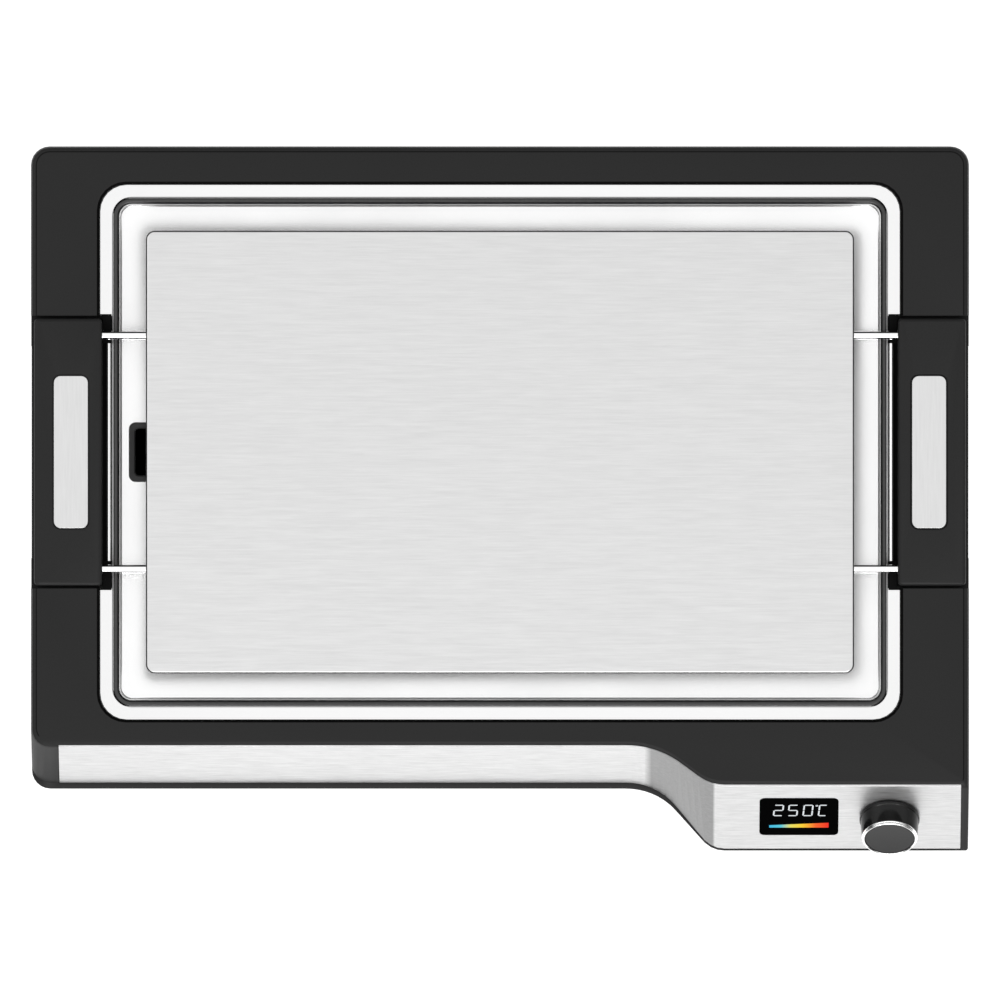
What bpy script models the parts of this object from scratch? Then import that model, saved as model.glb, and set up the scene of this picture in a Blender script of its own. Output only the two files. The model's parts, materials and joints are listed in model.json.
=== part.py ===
"""Electric griddle: a lift-off cooking plate over a drip tray in an open moulded base.

Metres, +Z up.  The layout is drawn about the centre of the cooking plate; the root empty then moves
the whole appliance so that the origin is the middle of its footprint, on the worktop.
"""

import math

import bmesh
import bpy
from mathutils import Matrix, Vector

MM = 0.001

# ---------------------------------------------------------------- driving dimensions
PLATE_LENGTH = 400 * MM
PLATE_WIDTH = 250 * MM
PLATE_THICKNESS = 8 * MM
PLATE_CORNER = 5 * MM

GUTTER = 15.2 * MM            # open drip channel between the plate and the tray's rim
RIM_BEAD = 4.1 * MM           # diameter of the tray's rolled rim
TRAY_DEPTH = 22 * MM
TRAY_SHEET = 1.0 * MM
TRAY_CORNER = 11 * MM
TRAY_FLOOR_RADIUS = 3 * MM

TRAY_GAP = 7.0 * MM           # air gap between the tray's rim and the base
OPENING_CORNER = 15 * MM
SIDE_MEMBER = 38.7 * MM       # width of the base's left and right members
BACK_MEMBER = 21.4 * MM
FRONT_MEMBER = 15.2 * MM      # flat top in front of the opening
BASE_HEIGHT = 60 * MM
BASE_CORNER = 10.5 * MM
EDGE_ROUND = 3 * MM           # rounded top edge of the base
WALL = 2.5 * MM
FOOT_HEIGHT = 6 * MM

PANEL_TILT = math.radians(54)     # control panel, from the horizontal
FRONT_TILT = math.radians(67.2)   # plain front left of the controls
PANEL_HEIGHT = 49.1 * MM          # rise of the fascia
CONTROL_REACH = 22.3 * MM         # how far the control housing stands forward, at the top
CONTROL_LENGTH = 138 * MM         # straight length of the control panel
LIP_DEPTH_LEFT = 3.4 * MM         # lip under the fascia, left of the step and at the controls
LIP_DEPTH_RIGHT = 1.1 * MM
FRONT_WALL = 3.6 * MM
FASCIA_THICKNESS = 0.8 * MM
FASCIA_END_LEFT = 15.6 * MM       # fascia ends, in from the sides of the base
FASCIA_END_RIGHT = 4.4 * MM

HANDLE_WIDTH = 38.5 * MM
HANDLE_HEIGHT = 17.7 * MM
HANDLE_SET_IN = 1.7 * MM
HANDLE_COVER = 2.4 * MM
RECESS_DEPTH = 16 * MM
RECESS_GAP = 1.6 * MM
SCOOP_LENGTH = 120 * MM           # finger space under each handle
SCOOP_WIDTH = 16.5 * MM
SCOOP_DEPTH = 20 * MM
INLAY_LENGTH = 86 * MM
INLAY_WIDTH = 19.3 * MM
INLAY_OFFSET = 1.6 * MM           # inlay's centre, inward from the handle's centre
INLAY_CORNER = 3.8 * MM
INLAY_THICKNESS = 0.8 * MM
INLAY_GROOVE = 0.8 * MM

ROD_DIAMETER = 5 * MM
ROD_BORE = 3.6 * MM
ROD_SPACING = 132 * MM
ROD_FROM_END = 9.5 * MM           # rod's axis, in from the handle's end
HANDLE_LENGTH = ROD_SPACING + 2 * ROD_FROM_END
ROD_UNDER_PLATE = 30 * MM
STOP_BAR_DIAMETER = 3.1 * MM
END_BLOCK_LENGTH = 16.5 * MM
END_BLOCK_PAST = 0.9 * MM         # end block, past the handle's recess

DRAIN_LENGTH = 38 * MM            # drain funnel, along X
DRAIN_WIDTH = 33.7 * MM
DRAIN_CORNER = 3.8 * MM
DRAIN_UNDER_PLATE = 28.1 * MM     # part of the funnel that the plate covers
CUP_LENGTH = 66 * MM
CUP_WIDTH = 85 * MM
CUP_DEPTH = 16 * MM

WINDOW_WIDTH = 44 * MM
WINDOW_HEIGHT = 35.5 * MM
WINDOW_CORNER = 2.8 * MM
WINDOW_FROM_END = 95.9 * MM       # window's centre, in from the right side of the base
KNOB_FROM_END = 44.7 * MM
CONTROLS_DOWN = 29.6 * MM         # controls' centre line, down the panel from its top edge
KNOB_DIAMETER = 34 * MM
KNOB_TOP_DIAMETER = 31.7 * MM
KNOB_LENGTH = 15.9 * MM
KNOB_PUSH = 0.8 * MM

GAP = 0.3 * MM                    # clearance between pieces that touch
CUT_PAST = 2 * MM                 # how far a cutter runs past the face it opens

# ---------------------------------------------------------------- derived places
PLATE_X = PLATE_LENGTH / 2
PLATE_Y = PLATE_WIDTH / 2
TRAY_X = PLATE_X + GUTTER + RIM_BEAD
TRAY_Y = PLATE_Y + GUTTER + RIM_BEAD
OPENING_X = TRAY_X + TRAY_GAP
OPENING_Y = TRAY_Y + TRAY_GAP
BASE_X = OPENING_X + SIDE_MEMBER
BACK_EDGE = OPENING_Y + BACK_MEMBER
FRONT_EDGE = -OPENING_Y - FRONT_MEMBER        # top edge of the fascia, left of the step

BASE_BOTTOM = FOOT_HEIGHT
BASE_TOP = BASE_HEIGHT
FASCIA_TOP = BASE_TOP - 0.8 * MM
FASCIA_BOTTOM = FASCIA_TOP - PANEL_HEIGHT
LIP_Z = FASCIA_BOTTOM - 1.2 * MM
COVER_TOP = BASE_BOTTOM + 2 * MM
HOLLOW_TOP = BASE_TOP - WALL
FRONT_WALL_RUN = FRONT_WALL / math.sin(PANEL_TILT)
PANEL_TOP_EDGE = FRONT_EDGE - CONTROL_REACH
FRONT_RUN = PANEL_HEIGHT / math.tan(FRONT_TILT)
PANEL_RUN = PANEL_HEIGHT / math.tan(PANEL_TILT)
STEP_END = BASE_X - CONTROL_LENGTH

RECESS_FLOOR = BASE_TOP - RECESS_DEPTH
SCOOP_FLOOR = RECESS_FLOOR - SCOOP_DEPTH
HANDLE_BOTTOM = RECESS_FLOOR + GAP
HANDLE_TOP = HANDLE_BOTTOM + HANDLE_HEIGHT
HANDLE_X = BASE_X - HANDLE_SET_IN - HANDLE_WIDTH / 2
RECESS_HALF = HANDLE_LENGTH / 2 + RECESS_GAP
RECESS_INNER = HANDLE_X - HANDLE_WIDTH / 2 - GAP
SCOOP_INNER = BASE_X - SCOOP_WIDTH
INLAY_X = HANDLE_X - INLAY_OFFSET

ROD_RADIUS = ROD_DIAMETER / 2
ROD_Z = HANDLE_TOP - 6 * MM
ROD_Y = ROD_SPACING / 2
ROD_OUTER_END = BASE_X - 6 * MM
ROD_INNER_END = PLATE_X - ROD_UNDER_PLATE
RIM_TOP = ROD_Z - ROD_RADIUS - 0.9 * MM
LEDGE_TOP = RIM_TOP - RIM_BEAD - GAP
LEDGE_INNER = TRAY_X - RIM_BEAD / 2 - 0.35 * MM
END_BLOCK_TOP = ROD_Z - ROD_RADIUS - GAP
END_BLOCK_INNER = TRAY_X + GAP
END_BLOCK_OUTER = RECESS_HALF + END_BLOCK_PAST
STOP_BAR_X = TRAY_X + 0.35 * MM + STOP_BAR_DIAMETER / 2
STOP_BAR_Z = LEDGE_TOP + 0.6 * MM + STOP_BAR_DIAMETER / 2
TRAY_FLOOR = RIM_TOP - TRAY_DEPTH
TRAY_UNDERSIDE = TRAY_FLOOR - TRAY_SHEET

PLATE_BOTTOM = ROD_Z + ROD_RADIUS + GAP
PLATE_TOP = PLATE_BOTTOM + PLATE_THICKNESS
ELEMENT_RADIUS = 3.3 * MM
ELEMENT_Z = PLATE_BOTTOM - GAP - ELEMENT_RADIUS
COVER_X = ROD_INNER_END - 14 * MM
COVER_Y = PLATE_Y - 22 * MM
BRACKET_INNER = ROD_INNER_END + 2 * MM
BRACKET_WIDTH = 16 * MM
BRACKET_BOTTOM = PLATE_BOTTOM - 8 * MM

KNOB_X = BASE_X - KNOB_FROM_END
WINDOW_X = BASE_X - WINDOW_FROM_END

SOCKET_X = (OPENING_X + WALL + SCOOP_INNER - WALL) / 2
SOCKET_PITCH = 5.5 * MM
INLET_Y = -OPENING_Y + 32 * MM
INLET_Z = 30 * MM
BOARD_X = STEP_END + 57 * MM
BOARD_Y = -OPENING_Y - 22.5 * MM
BOARD_BOTTOM = COVER_TOP + 3 * MM

# ---------------------------------------------------------------- finishes: colour, metallic, roughness
BLACK_PLASTIC = ((0.031, 0.031, 0.031), 0.0, 0.45)
GLOSS_BLACK = ((0.012, 0.012, 0.012), 0.0, 0.15)
BRUSHED_STEEL = ((0.75, 0.75, 0.76), 1.0, 0.32)
POLISHED_STEEL = ((0.80, 0.80, 0.81), 1.0, 0.12)
CHROME = ((0.85, 0.85, 0.86), 1.0, 0.05)
PLATE_METAL = ((0.72, 0.72, 0.73), 1.0, 0.38)
ALUMINIUM = ((0.62, 0.62, 0.64), 1.0, 0.45)
CAP_GREY = ((0.075, 0.075, 0.078), 0.6, 0.35)
DISPLAY_BLACK = ((0.006, 0.006, 0.008), 0.0, 0.08)
RUBBER = ((0.02, 0.02, 0.02), 0.0, 0.8)
BOARD_GREEN = ((0.02, 0.12, 0.05), 0.0, 0.5)
CERAMIC = ((0.7, 0.68, 0.62), 0.0, 0.6)
RELAY_BLUE = ((0.02, 0.06, 0.25), 0.0, 0.45)
SLEEVE_WHITE = ((0.75, 0.73, 0.70), 0.0, 0.7)
CABLE_BLACK = ((0.02, 0.02, 0.02), 0.0, 0.6)
SCREW_STEEL = ((0.5, 0.5, 0.52), 1.0, 0.35)

for old in list(bpy.data.objects):
    bpy.data.objects.remove(old, do_unlink=True)

parts = bpy.data.collections.new("electric_griddle")
cutters = bpy.data.collections.new("cutters")
bpy.context.scene.collection.children.link(parts)
bpy.context.scene.collection.children.link(cutters)

KNOB_TIP = (
    PANEL_TOP_EDGE
    - CONTROLS_DOWN * math.cos(PANEL_TILT)
    - KNOB_LENGTH * math.sin(PANEL_TILT)
    - KNOB_TOP_DIAMETER / 2 * math.cos(PANEL_TILT)
)
root = bpy.data.objects.new("griddle_root", None)
root.location.y = -(BACK_EDGE + KNOB_TIP) / 2
parts.objects.link(root)

# Local X runs along the panel, local Y up its slope, local Z straight out of it.
panel = bpy.data.objects.new("panel_axis", None)
panel.location = (0, PANEL_TOP_EDGE, FASCIA_TOP)
panel.rotation_euler.x = PANEL_TILT
panel.parent = root
parts.objects.link(panel)


# ---------------------------------------------------------------- helpers
def finish_object(obj, finish, parent=None, smooth=30):
    """Put a finished piece in the griddle's collection with a material of its own."""
    colour, metallic, roughness = finish
    material = bpy.data.materials.new(obj.name)
    material.use_nodes = True
    shader = material.node_tree.nodes["Principled BSDF"]
    shader.inputs["Base Color"].default_value = (*colour, 1)
    shader.inputs["Metallic"].default_value = metallic
    shader.inputs["Roughness"].default_value = roughness
    material.diffuse_color = (*colour, 1)
    obj.data.materials.clear()
    obj.data.materials.append(material)
    obj.parent = parent or root
    move_to(obj, parts)
    if obj.type == "MESH":
        obj.data.shade_smooth()
        obj.data.set_sharp_from_angle(angle=math.radians(smooth))
    return obj


def move_to(obj, collection):
    for owner in list(obj.users_collection):
        owner.objects.unlink(obj)
    collection.objects.link(obj)


def as_cutter(obj, parent=None):
    obj.parent = parent or root
    obj.hide_render = True
    obj.display_type = "WIRE"
    move_to(obj, cutters)
    return obj


def boolean(obj, other, operation="DIFFERENCE"):
    modifier = obj.modifiers.new(operation.lower(), "BOOLEAN")
    modifier.operation = operation
    modifier.solver = "EXACT"
    modifier.object = other


def cut(obj, cutter, parent=None):
    boolean(obj, as_cutter(cutter, parent))


def join(obj, addition, parent=None):
    boolean(obj, as_cutter(addition, parent), "UNION")


def mesh_object(name, bm):
    bmesh.ops.recalc_face_normals(bm, faces=bm.faces)
    mesh = bpy.data.meshes.new(name)
    bm.to_mesh(mesh)
    bm.free()
    obj = bpy.data.objects.new(name, mesh)
    bpy.context.scene.collection.objects.link(obj)
    return obj


def loft(name, rings, closed=False, fixed_diagonals=False):
    """Skin equal rings of points; the ends are capped, or joined to each other when closed.

    With fixed_diagonals every four-sided face is split the same way, so that two offset lofts stay parallel.
    """
    bm = bmesh.new()
    loops = [[bm.verts.new(point) for point in ring] for ring in rings]
    count = len(loops[0])
    pairs = list(zip(loops, loops[1:]))
    if closed:
        pairs.append((loops[-1], loops[0]))
    for lower, upper in pairs:
        for i in range(count):
            j = (i + 1) % count
            bm.faces.new((lower[i], lower[j], upper[j], upper[i]))
    if not closed:
        bm.faces.new(loops[0])
        bm.faces.new(loops[-1])
    if fixed_diagonals:
        bmesh.ops.triangulate(bm, faces=bm.faces, quad_method="FIXED")
    return mesh_object(name, bm)


def arc(centre_x, centre_y, radius, start, end, steps):
    angles = [math.radians(start + (end - start) * i / steps) for i in range(steps + 1)]
    return [(centre_x + radius * math.cos(a), centre_y + radius * math.sin(a)) for a in angles]


def rounded_ring(half_x, half_y, radius, z, centre=(0, 0), steps=5):
    """A rounded rectangle of points at height z, counter-clockwise."""
    cx, cy = centre
    points = []
    for sx, sy, start in ((1, 1, 0), (-1, 1, 90), (-1, -1, 180), (1, -1, 270)):
        corner_x = cx + sx * (half_x - radius)
        corner_y = cy + sy * (half_y - radius)
        points += arc(corner_x, corner_y, radius, start, start + 90, steps)
    return [Vector((x, y, z)) for x, y in points]


def rounded_block(name, half_x, half_y, radius, low, high, centre=(0, 0), edge=0.0, steps=5):
    """A slab with rounded corners and, with edge above zero, eased top and bottom edges."""
    levels = [(edge, low), (0, low + edge), (0, high - edge), (edge, high)] if edge else [(0, low), (0, high)]
    rings = [
        rounded_ring(half_x - inset, half_y - inset, max(radius - inset, radius / 4), z, centre, steps)
        for inset, z in levels
    ]
    return loft(name, rings)


def box(name, low, high):
    bm = bmesh.new()
    size = Vector(high) - Vector(low)
    middle = (Vector(high) + Vector(low)) / 2
    bmesh.ops.create_cube(bm, size=1, matrix=Matrix.Translation(middle) @ Matrix.Diagonal((*size, 1)))
    return mesh_object(name, bm)


def cylinder(name, radius, start, end, sides=24):
    """A closed cylinder between two points."""
    start = Vector(start)
    axis = Vector(end) - start
    place = Matrix.Translation(start + axis / 2) @ axis.to_track_quat("Z", "Y").to_matrix().to_4x4()
    bm = bmesh.new()
    bmesh.ops.create_cone(
        bm, cap_ends=True, segments=sides, radius1=radius, radius2=radius, depth=axis.length, matrix=place
    )
    return mesh_object(name, bm)


def turned(name, profile, steps=40, closed=False):
    """Turn a profile of (radius, height) points about local Z."""
    bm = bmesh.new()
    verts = [bm.verts.new((radius, 0, height)) for radius, height in profile]
    for a, b in zip(verts, verts[1:]):
        bm.edges.new((a, b))
    if closed:
        bm.edges.new((verts[-1], verts[0]))
    mesh = bpy.data.meshes.new(name)
    bm.to_mesh(mesh)
    bm.free()
    obj = bpy.data.objects.new(name, mesh)
    bpy.context.scene.collection.objects.link(obj)
    screw = obj.modifiers.new("turn", "SCREW")
    screw.axis = "Z"
    screw.steps = steps
    screw.render_steps = steps
    screw.use_merge_vertices = True
    screw.merge_threshold = 0.00001
    screw.use_smooth_shade = True
    return obj


def smooth_route(points, spacing):
    """Points of a smooth curve through the route's own points (Catmull-Rom)."""
    route = [Vector(p) for p in points]
    ends = [2 * route[0] - route[1]] + route + [2 * route[-1] - route[-2]]
    path = []
    for p0, p1, p2, p3 in zip(ends, ends[1:], ends[2:], ends[3:]):
        steps = max(1, round((p2 - p1).length / spacing))
        for i in range(steps):
            t = i / steps
            path.append(
                0.5 * (2 * p1 + (p2 - p0) * t + (2 * p0 - 5 * p1 + 4 * p2 - p3) * t**2
                       + (3 * p1 - p0 - 3 * p2 + p3) * t**3)
            )
    return path + [route[-1]]


def tube(name, points, radius):
    """A round tube along points, as a curve with filled caps."""
    curve = bpy.data.curves.new(name, "CURVE")
    curve.dimensions = "3D"
    curve.bevel_depth = radius
    curve.bevel_resolution = 2
    curve.use_fill_caps = True
    spline = curve.splines.new("POLY")
    spline.points.add(len(points) - 1)
    for point, place in zip(spline.points, points):
        point.co = (*place, 1)
    obj = bpy.data.objects.new(name, curve)
    bpy.context.scene.collection.objects.link(obj)
    return obj


# ---------------------------------------------------------------- the base's outline
def step_curve(x, drop, inner_radius, outer_radius, steepest):
    """How far the front has stepped forward at x: an arc, a straight run and a reverse arc."""
    sine, cosine = math.sin(steepest), math.cos(steepest)
    arcs_drop = (inner_radius + outer_radius) * (1 - cosine)
    straight = (drop - arcs_drop) / math.tan(steepest)
    outer_start = STEP_END - outer_radius * sine
    inner_end = outer_start - straight
    inner_start = inner_end - inner_radius * sine
    if x <= inner_start:
        return 0.0
    if x < inner_end:
        return inner_radius - math.sqrt(inner_radius**2 - (x - inner_start) ** 2)
    inner_drop = inner_radius * (1 - cosine)
    if x < outer_start:
        return inner_drop + (x - inner_end) * math.tan(steepest)
    if x < STEP_END:
        return drop - outer_radius + math.sqrt(outer_radius**2 - (STEP_END - x) ** 2)
    return drop


BOTTOM_REACH = CONTROL_REACH + PANEL_RUN - FRONT_RUN
STEP_START = STEP_END - 60 * MM
STEP_POINTS = 16


def fascia_top_y(x):
    return FRONT_EDGE - step_curve(x, CONTROL_REACH, 52 * MM, 25 * MM, math.radians(36.5))


def fascia_bottom_y(x):
    return FRONT_EDGE - FRONT_RUN - step_curve(x, BOTTOM_REACH, 36.8 * MM, 15.5 * MM, math.radians(50))


def lip_y(x):
    share = step_curve(x, BOTTOM_REACH, 36.8 * MM, 15.5 * MM, math.radians(50)) / BOTTOM_REACH
    return fascia_bottom_y(x) - LIP_DEPTH_LEFT + (LIP_DEPTH_LEFT - LIP_DEPTH_RIGHT) * share


def step_stations(start, end):
    """X stations along the front, close together over the step."""
    inside = [STEP_START + (STEP_END - STEP_START) * i / STEP_POINTS for i in range(STEP_POINTS + 1)]
    return [start] + [x for x in inside if start < x < end] + [end]


def base_ring(z, front, inset=0.0, front_inset=None):
    """The base's outline at height z; front(x) is the outline's front edge there."""
    if front_inset is None:
        front_inset = inset
    corner = max(BASE_CORNER - inset, 1 * MM)
    right_corner = 1.5 * MM
    x_max = BASE_X - inset
    y_max = BACK_EDGE - inset
    left_y = front(-BASE_X) + front_inset
    right_y = front(BASE_X) + front_inset
    points = arc(x_max - corner, y_max - corner, corner, 0, 90, 6)
    points += arc(-x_max + corner, y_max - corner, corner, 90, 180, 6)
    points += arc(-x_max + corner, left_y + corner, corner, 180, 270, 6)
    points += [(x, front(x) + front_inset) for x in step_stations(STEP_START, STEP_END)]
    points += arc(x_max - right_corner, right_y + right_corner, right_corner, 270, 360, 3)
    return [Vector((x, y, z)) for x, y in points]


def opening_block(name, margin, low, high):
    half_x = OPENING_X + margin
    half_y = OPENING_Y + margin
    return rounded_block(name, half_x, half_y, OPENING_CORNER + margin, low, high, steps=6)


def both_sides(low, high):
    """The two mirrored copies of a box that is given on the right."""
    for side, sign in (("right", 1), ("left", -1)):
        x_low, x_high = sorted((sign * low[0], sign * high[0]))
        yield side, (x_low, low[1], low[2]), (x_high, high[1], high[2])


POST_RADIUS = 4.2 * MM
PILOT_RADIUS = 1.4 * MM
POSTS = {
    "back_left": (-BASE_X + 17 * MM, OPENING_Y - 18 * MM),
    "back_right": (BASE_X - 17 * MM, OPENING_Y - 18 * MM),
    "front_left": (-BASE_X + 17 * MM, -OPENING_Y + 12 * MM),
    "front_right": (BASE_X - 13 * MM, -OPENING_Y - 16 * MM),
}


def front_band(name, outward, inward, end_gap, edge_gap):
    """A band that follows the sloping front between the fascia's edges."""
    x_start = -BASE_X + FASCIA_END_LEFT - end_gap
    x_end = BASE_X - FASCIA_END_RIGHT + end_gap
    rings = []
    for x in step_stations(x_start, x_end):
        top = Vector((x, fascia_top_y(x), FASCIA_TOP))
        bottom = Vector((x, fascia_bottom_y(x), FASCIA_BOTTOM))
        up = (top - bottom).normalized()
        top = top + up * edge_gap
        bottom = bottom - up * edge_gap
        out = Vector((0, -outward, 0))
        back = Vector((0, inward, 0))
        rings.append([top + out, bottom + out, bottom + back, top + back])
    return loft(name, rings, fixed_diagonals=True)


# ---------------------------------------------------------------- base
def make_base_frame():
    """Open moulded frame: outer skin, hollow, opening, handle recesses and tray ledges."""
    levels = [
        base_ring(BASE_BOTTOM, lip_y, 0.8 * MM, 1.5 * MM),
        base_ring(BASE_BOTTOM + 1 * MM, lip_y, 0.0, 0.4 * MM),
        base_ring(LIP_Z, lip_y),
        base_ring(FASCIA_BOTTOM, fascia_bottom_y),
        base_ring(BASE_TOP - EDGE_ROUND, lambda x: blend_front(x, BASE_TOP - EDGE_ROUND)),
        base_ring(BASE_TOP - 0.9 * MM, fascia_top_y, 0.9 * MM, 0.05 * MM),
        base_ring(BASE_TOP, fascia_top_y, EDGE_ROUND, EDGE_ROUND),
    ]
    frame = loft("base_frame", levels)

    boolean(frame, make_hollow())
    cut(frame, opening_block("cut_opening", 0, BASE_BOTTOM - CUT_PAST, BASE_TOP + CUT_PAST))

    ledge_low = (LEDGE_INNER, -RECESS_HALF, RECESS_FLOOR - 6 * MM)
    ledge_high = (OPENING_X + 1 * MM, RECESS_HALF, LEDGE_TOP)
    for side, low, high in both_sides(ledge_low, ledge_high):
        join(frame, box(f"add_ledge_{side}", low, high))
    for end, sign in (("back", 1), ("front", -1)):
        y_low, y_high = sorted((sign * (END_BLOCK_OUTER - END_BLOCK_LENGTH), sign * END_BLOCK_OUTER))
        block_low = (END_BLOCK_INNER, y_low, LEDGE_TOP - 2 * MM)
        block_high = (OPENING_X + 1 * MM, y_high, END_BLOCK_TOP)
        for side, low, high in both_sides(block_low, block_high):
            join(frame, box(f"add_end_block_{end}_{side}", low, high))

    recess_low = (RECESS_INNER, -RECESS_HALF, RECESS_FLOOR)
    recess_high = (BASE_X + CUT_PAST, RECESS_HALF, BASE_TOP + CUT_PAST)
    for side, low, high in both_sides(recess_low, recess_high):
        cut(frame, box(f"cut_recess_{side}", low, high))
    scoop_low = (SCOOP_INNER, -SCOOP_LENGTH / 2, SCOOP_FLOOR)
    scoop_high = (BASE_X + CUT_PAST, SCOOP_LENGTH / 2, RECESS_FLOOR + CUT_PAST)
    for side, low, high in both_sides(scoop_low, scoop_high):
        cut(frame, box(f"cut_scoop_{side}", low, high))

    bar_radius = STOP_BAR_DIAMETER / 2 + GAP
    bar_half = STOP_BAR_HALF + GAP
    for side, sign in (("right", 1), ("left", -1)):
        x = sign * STOP_BAR_X
        hole = cylinder(f"cut_bar_{side}", bar_radius, (x, -bar_half, STOP_BAR_Z), (x, bar_half, STOP_BAR_Z))
        cut(frame, hole)

    for place, (x, y) in POSTS.items():
        pilot_low = (x, y, COVER_TOP - CUT_PAST)
        cut(frame, cylinder(f"cut_pilot_{place}", PILOT_RADIUS, pilot_low, (x, y, 24 * MM), 12))

    seat_depth = (FASCIA_THICKNESS + GAP) / math.sin(PANEL_TILT)
    cut(frame, front_band("cut_fascia_seat", CUT_PAST, seat_depth, GAP, GAP))
    cut(frame, window_block("cut_frame_window", GAP, -6 * MM, 1 * MM), panel)
    knob_axis_y = -CONTROLS_DOWN
    bush_low = (KNOB_X, knob_axis_y, -8 * MM)
    bush_hole = cylinder("cut_bush", BUSH_RADIUS + GAP, bush_low, (KNOB_X, knob_axis_y, 2 * MM))
    cut(frame, bush_hole, panel)

    flange_inner = BASE_X - FLANGE_DEPTH - GAP
    cut(frame, inlet_block("cut_inlet_flange", INLET_FLANGE, GAP, flange_inner, BASE_X + CUT_PAST))
    cut(frame, inlet_block("cut_inlet_body", INLET_BODY, GAP, BASE_X - 12 * MM, BASE_X + CUT_PAST))
    cut(frame, socket_block("cut_socket", SOCKET_COLLAR, GAP, RECESS_FLOOR - 6 * MM, RECESS_FLOOR + CUT_PAST))
    return finish_object(frame, BLACK_PLASTIC)


def blend_front(x, z):
    """The sloping front's edge at a height between the fascia's bottom and top."""
    share = (z - FASCIA_BOTTOM) / (FASCIA_TOP - FASCIA_BOTTOM)
    return fascia_bottom_y(x) + (fascia_top_y(x) - fascia_bottom_y(x)) * share


def make_hollow():
    """The space inside the base: the skin's offset less the walls round its openings and its posts."""
    low = BASE_BOTTOM - CUT_PAST
    hollow = loft("hollow", [
        base_ring(low, fascia_bottom_y, WALL, FRONT_WALL_RUN),
        base_ring(FASCIA_BOTTOM, fascia_bottom_y, WALL, FRONT_WALL_RUN),
        base_ring(HOLLOW_TOP, lambda x: blend_front(x, HOLLOW_TOP), WALL, FRONT_WALL_RUN),
    ])
    cut(hollow, opening_block("wall_opening", WALL, low - CUT_PAST, BASE_TOP))
    recess_low = (OPENING_X - CUT_PAST, -RECESS_HALF - WALL, RECESS_FLOOR - WALL)
    recess_high = (BASE_X + CUT_PAST, RECESS_HALF + WALL, BASE_TOP)
    for side, wall_low, wall_high in both_sides(recess_low, recess_high):
        cut(hollow, box(f"wall_recess_{side}", wall_low, wall_high))
    scoop_half = SCOOP_LENGTH / 2 + WALL
    scoop_low = (SCOOP_INNER - WALL, -scoop_half, SCOOP_FLOOR - WALL)
    scoop_high = (BASE_X + CUT_PAST, scoop_half, BASE_TOP)
    for side, wall_low, wall_high in both_sides(scoop_low, scoop_high):
        cut(hollow, box(f"wall_scoop_{side}", wall_low, wall_high))
    for place, (x, y) in POSTS.items():
        post = cylinder(f"wall_post_{place}", POST_RADIUS, (x, y, COVER_TOP + GAP), (x, y, BASE_TOP), 16)
        cut(hollow, post)
    cut(hollow, inlet_block("wall_inlet", INLET_FLANGE, 2 * MM, BASE_X - 5 * MM, BASE_X + CUT_PAST))
    return as_cutter(hollow)


INLET_FLANGE = (15.5 * MM, 12 * MM)
INLET_BODY = (13.5 * MM, 10 * MM)
FLANGE_DEPTH = 2 * MM
SOCKET_COLLAR = (5.5 * MM, 18 * MM)
BUSH_RADIUS = 4 * MM
STOP_BAR_HALF = END_BLOCK_OUTER - END_BLOCK_LENGTH + 5 * MM


def inlet_block(name, half, margin, low, high):
    """A block of the mains inlet, centred on it in the base's right side."""
    half_y, half_z = half
    return box(
        name,
        (low, INLET_Y - half_y - margin, INLET_Z - half_z - margin),
        (high, INLET_Y + half_y + margin, INLET_Z + half_z + margin),
    )


def socket_block(name, half, margin, low, high):
    """A block of the plate's connector, under the right handle."""
    reach_x, reach_y = half[0] + margin, half[1] + margin
    return box(name, (SOCKET_X - reach_x, -reach_y, low), (SOCKET_X + reach_x, reach_y, high))


def window_block(name, margin, low, high):
    return rounded_block(
        name, WINDOW_WIDTH / 2 + margin, WINDOW_HEIGHT / 2 + margin, WINDOW_CORNER + margin, low, high,
        centre=(WINDOW_X, -CONTROLS_DOWN),
    )


def make_bottom_cover():
    """Ring-shaped plate that closes the base from below, with pads for the power board."""
    inset = WALL + GAP
    front_inset = FRONT_WALL_RUN + GAP
    cover = loft("bottom_cover", [
        base_ring(BASE_BOTTOM, fascia_bottom_y, inset, front_inset),
        base_ring(COVER_TOP, fascia_bottom_y, inset, front_inset),
    ])
    cut(cover, opening_block("cut_cover_opening", inset, BASE_BOTTOM - CUT_PAST, COVER_TOP + CUT_PAST))
    for place, (x, y) in POSTS.items():
        cut(cover, cylinder(f"cut_screw_{place}", 2 * MM, (x, y, 0), (x, y, COVER_TOP + CUT_PAST), 16))
        cut(cover, cylinder(f"cut_head_{place}", 3.6 * MM, (x, y, 0), (x, y, BASE_BOTTOM + 1 * MM), 16))
    for i in range(6):
        x = BOARD_X - 30 * MM + i * 12 * MM
        slot_low = (x - 1.5 * MM, BOARD_Y - 9 * MM, BASE_BOTTOM - CUT_PAST)
        slot_high = (x + 1.5 * MM, BOARD_Y + 9 * MM, COVER_TOP + CUT_PAST)
        cut(cover, box(f"cut_vent_{i}", slot_low, slot_high))
    for side, sign in (("left", -1), ("right", 1)):
        x = BOARD_X + sign * 40 * MM
        pad_low = (x - 3 * MM, BOARD_Y - 8 * MM, COVER_TOP - 1 * MM)
        pad_high = (x + 3 * MM, BOARD_Y + 8 * MM, BOARD_BOTTOM - GAP)
        join(cover, box(f"add_pad_{side}", pad_low, pad_high))
    return finish_object(cover, BLACK_PLASTIC)


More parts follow.
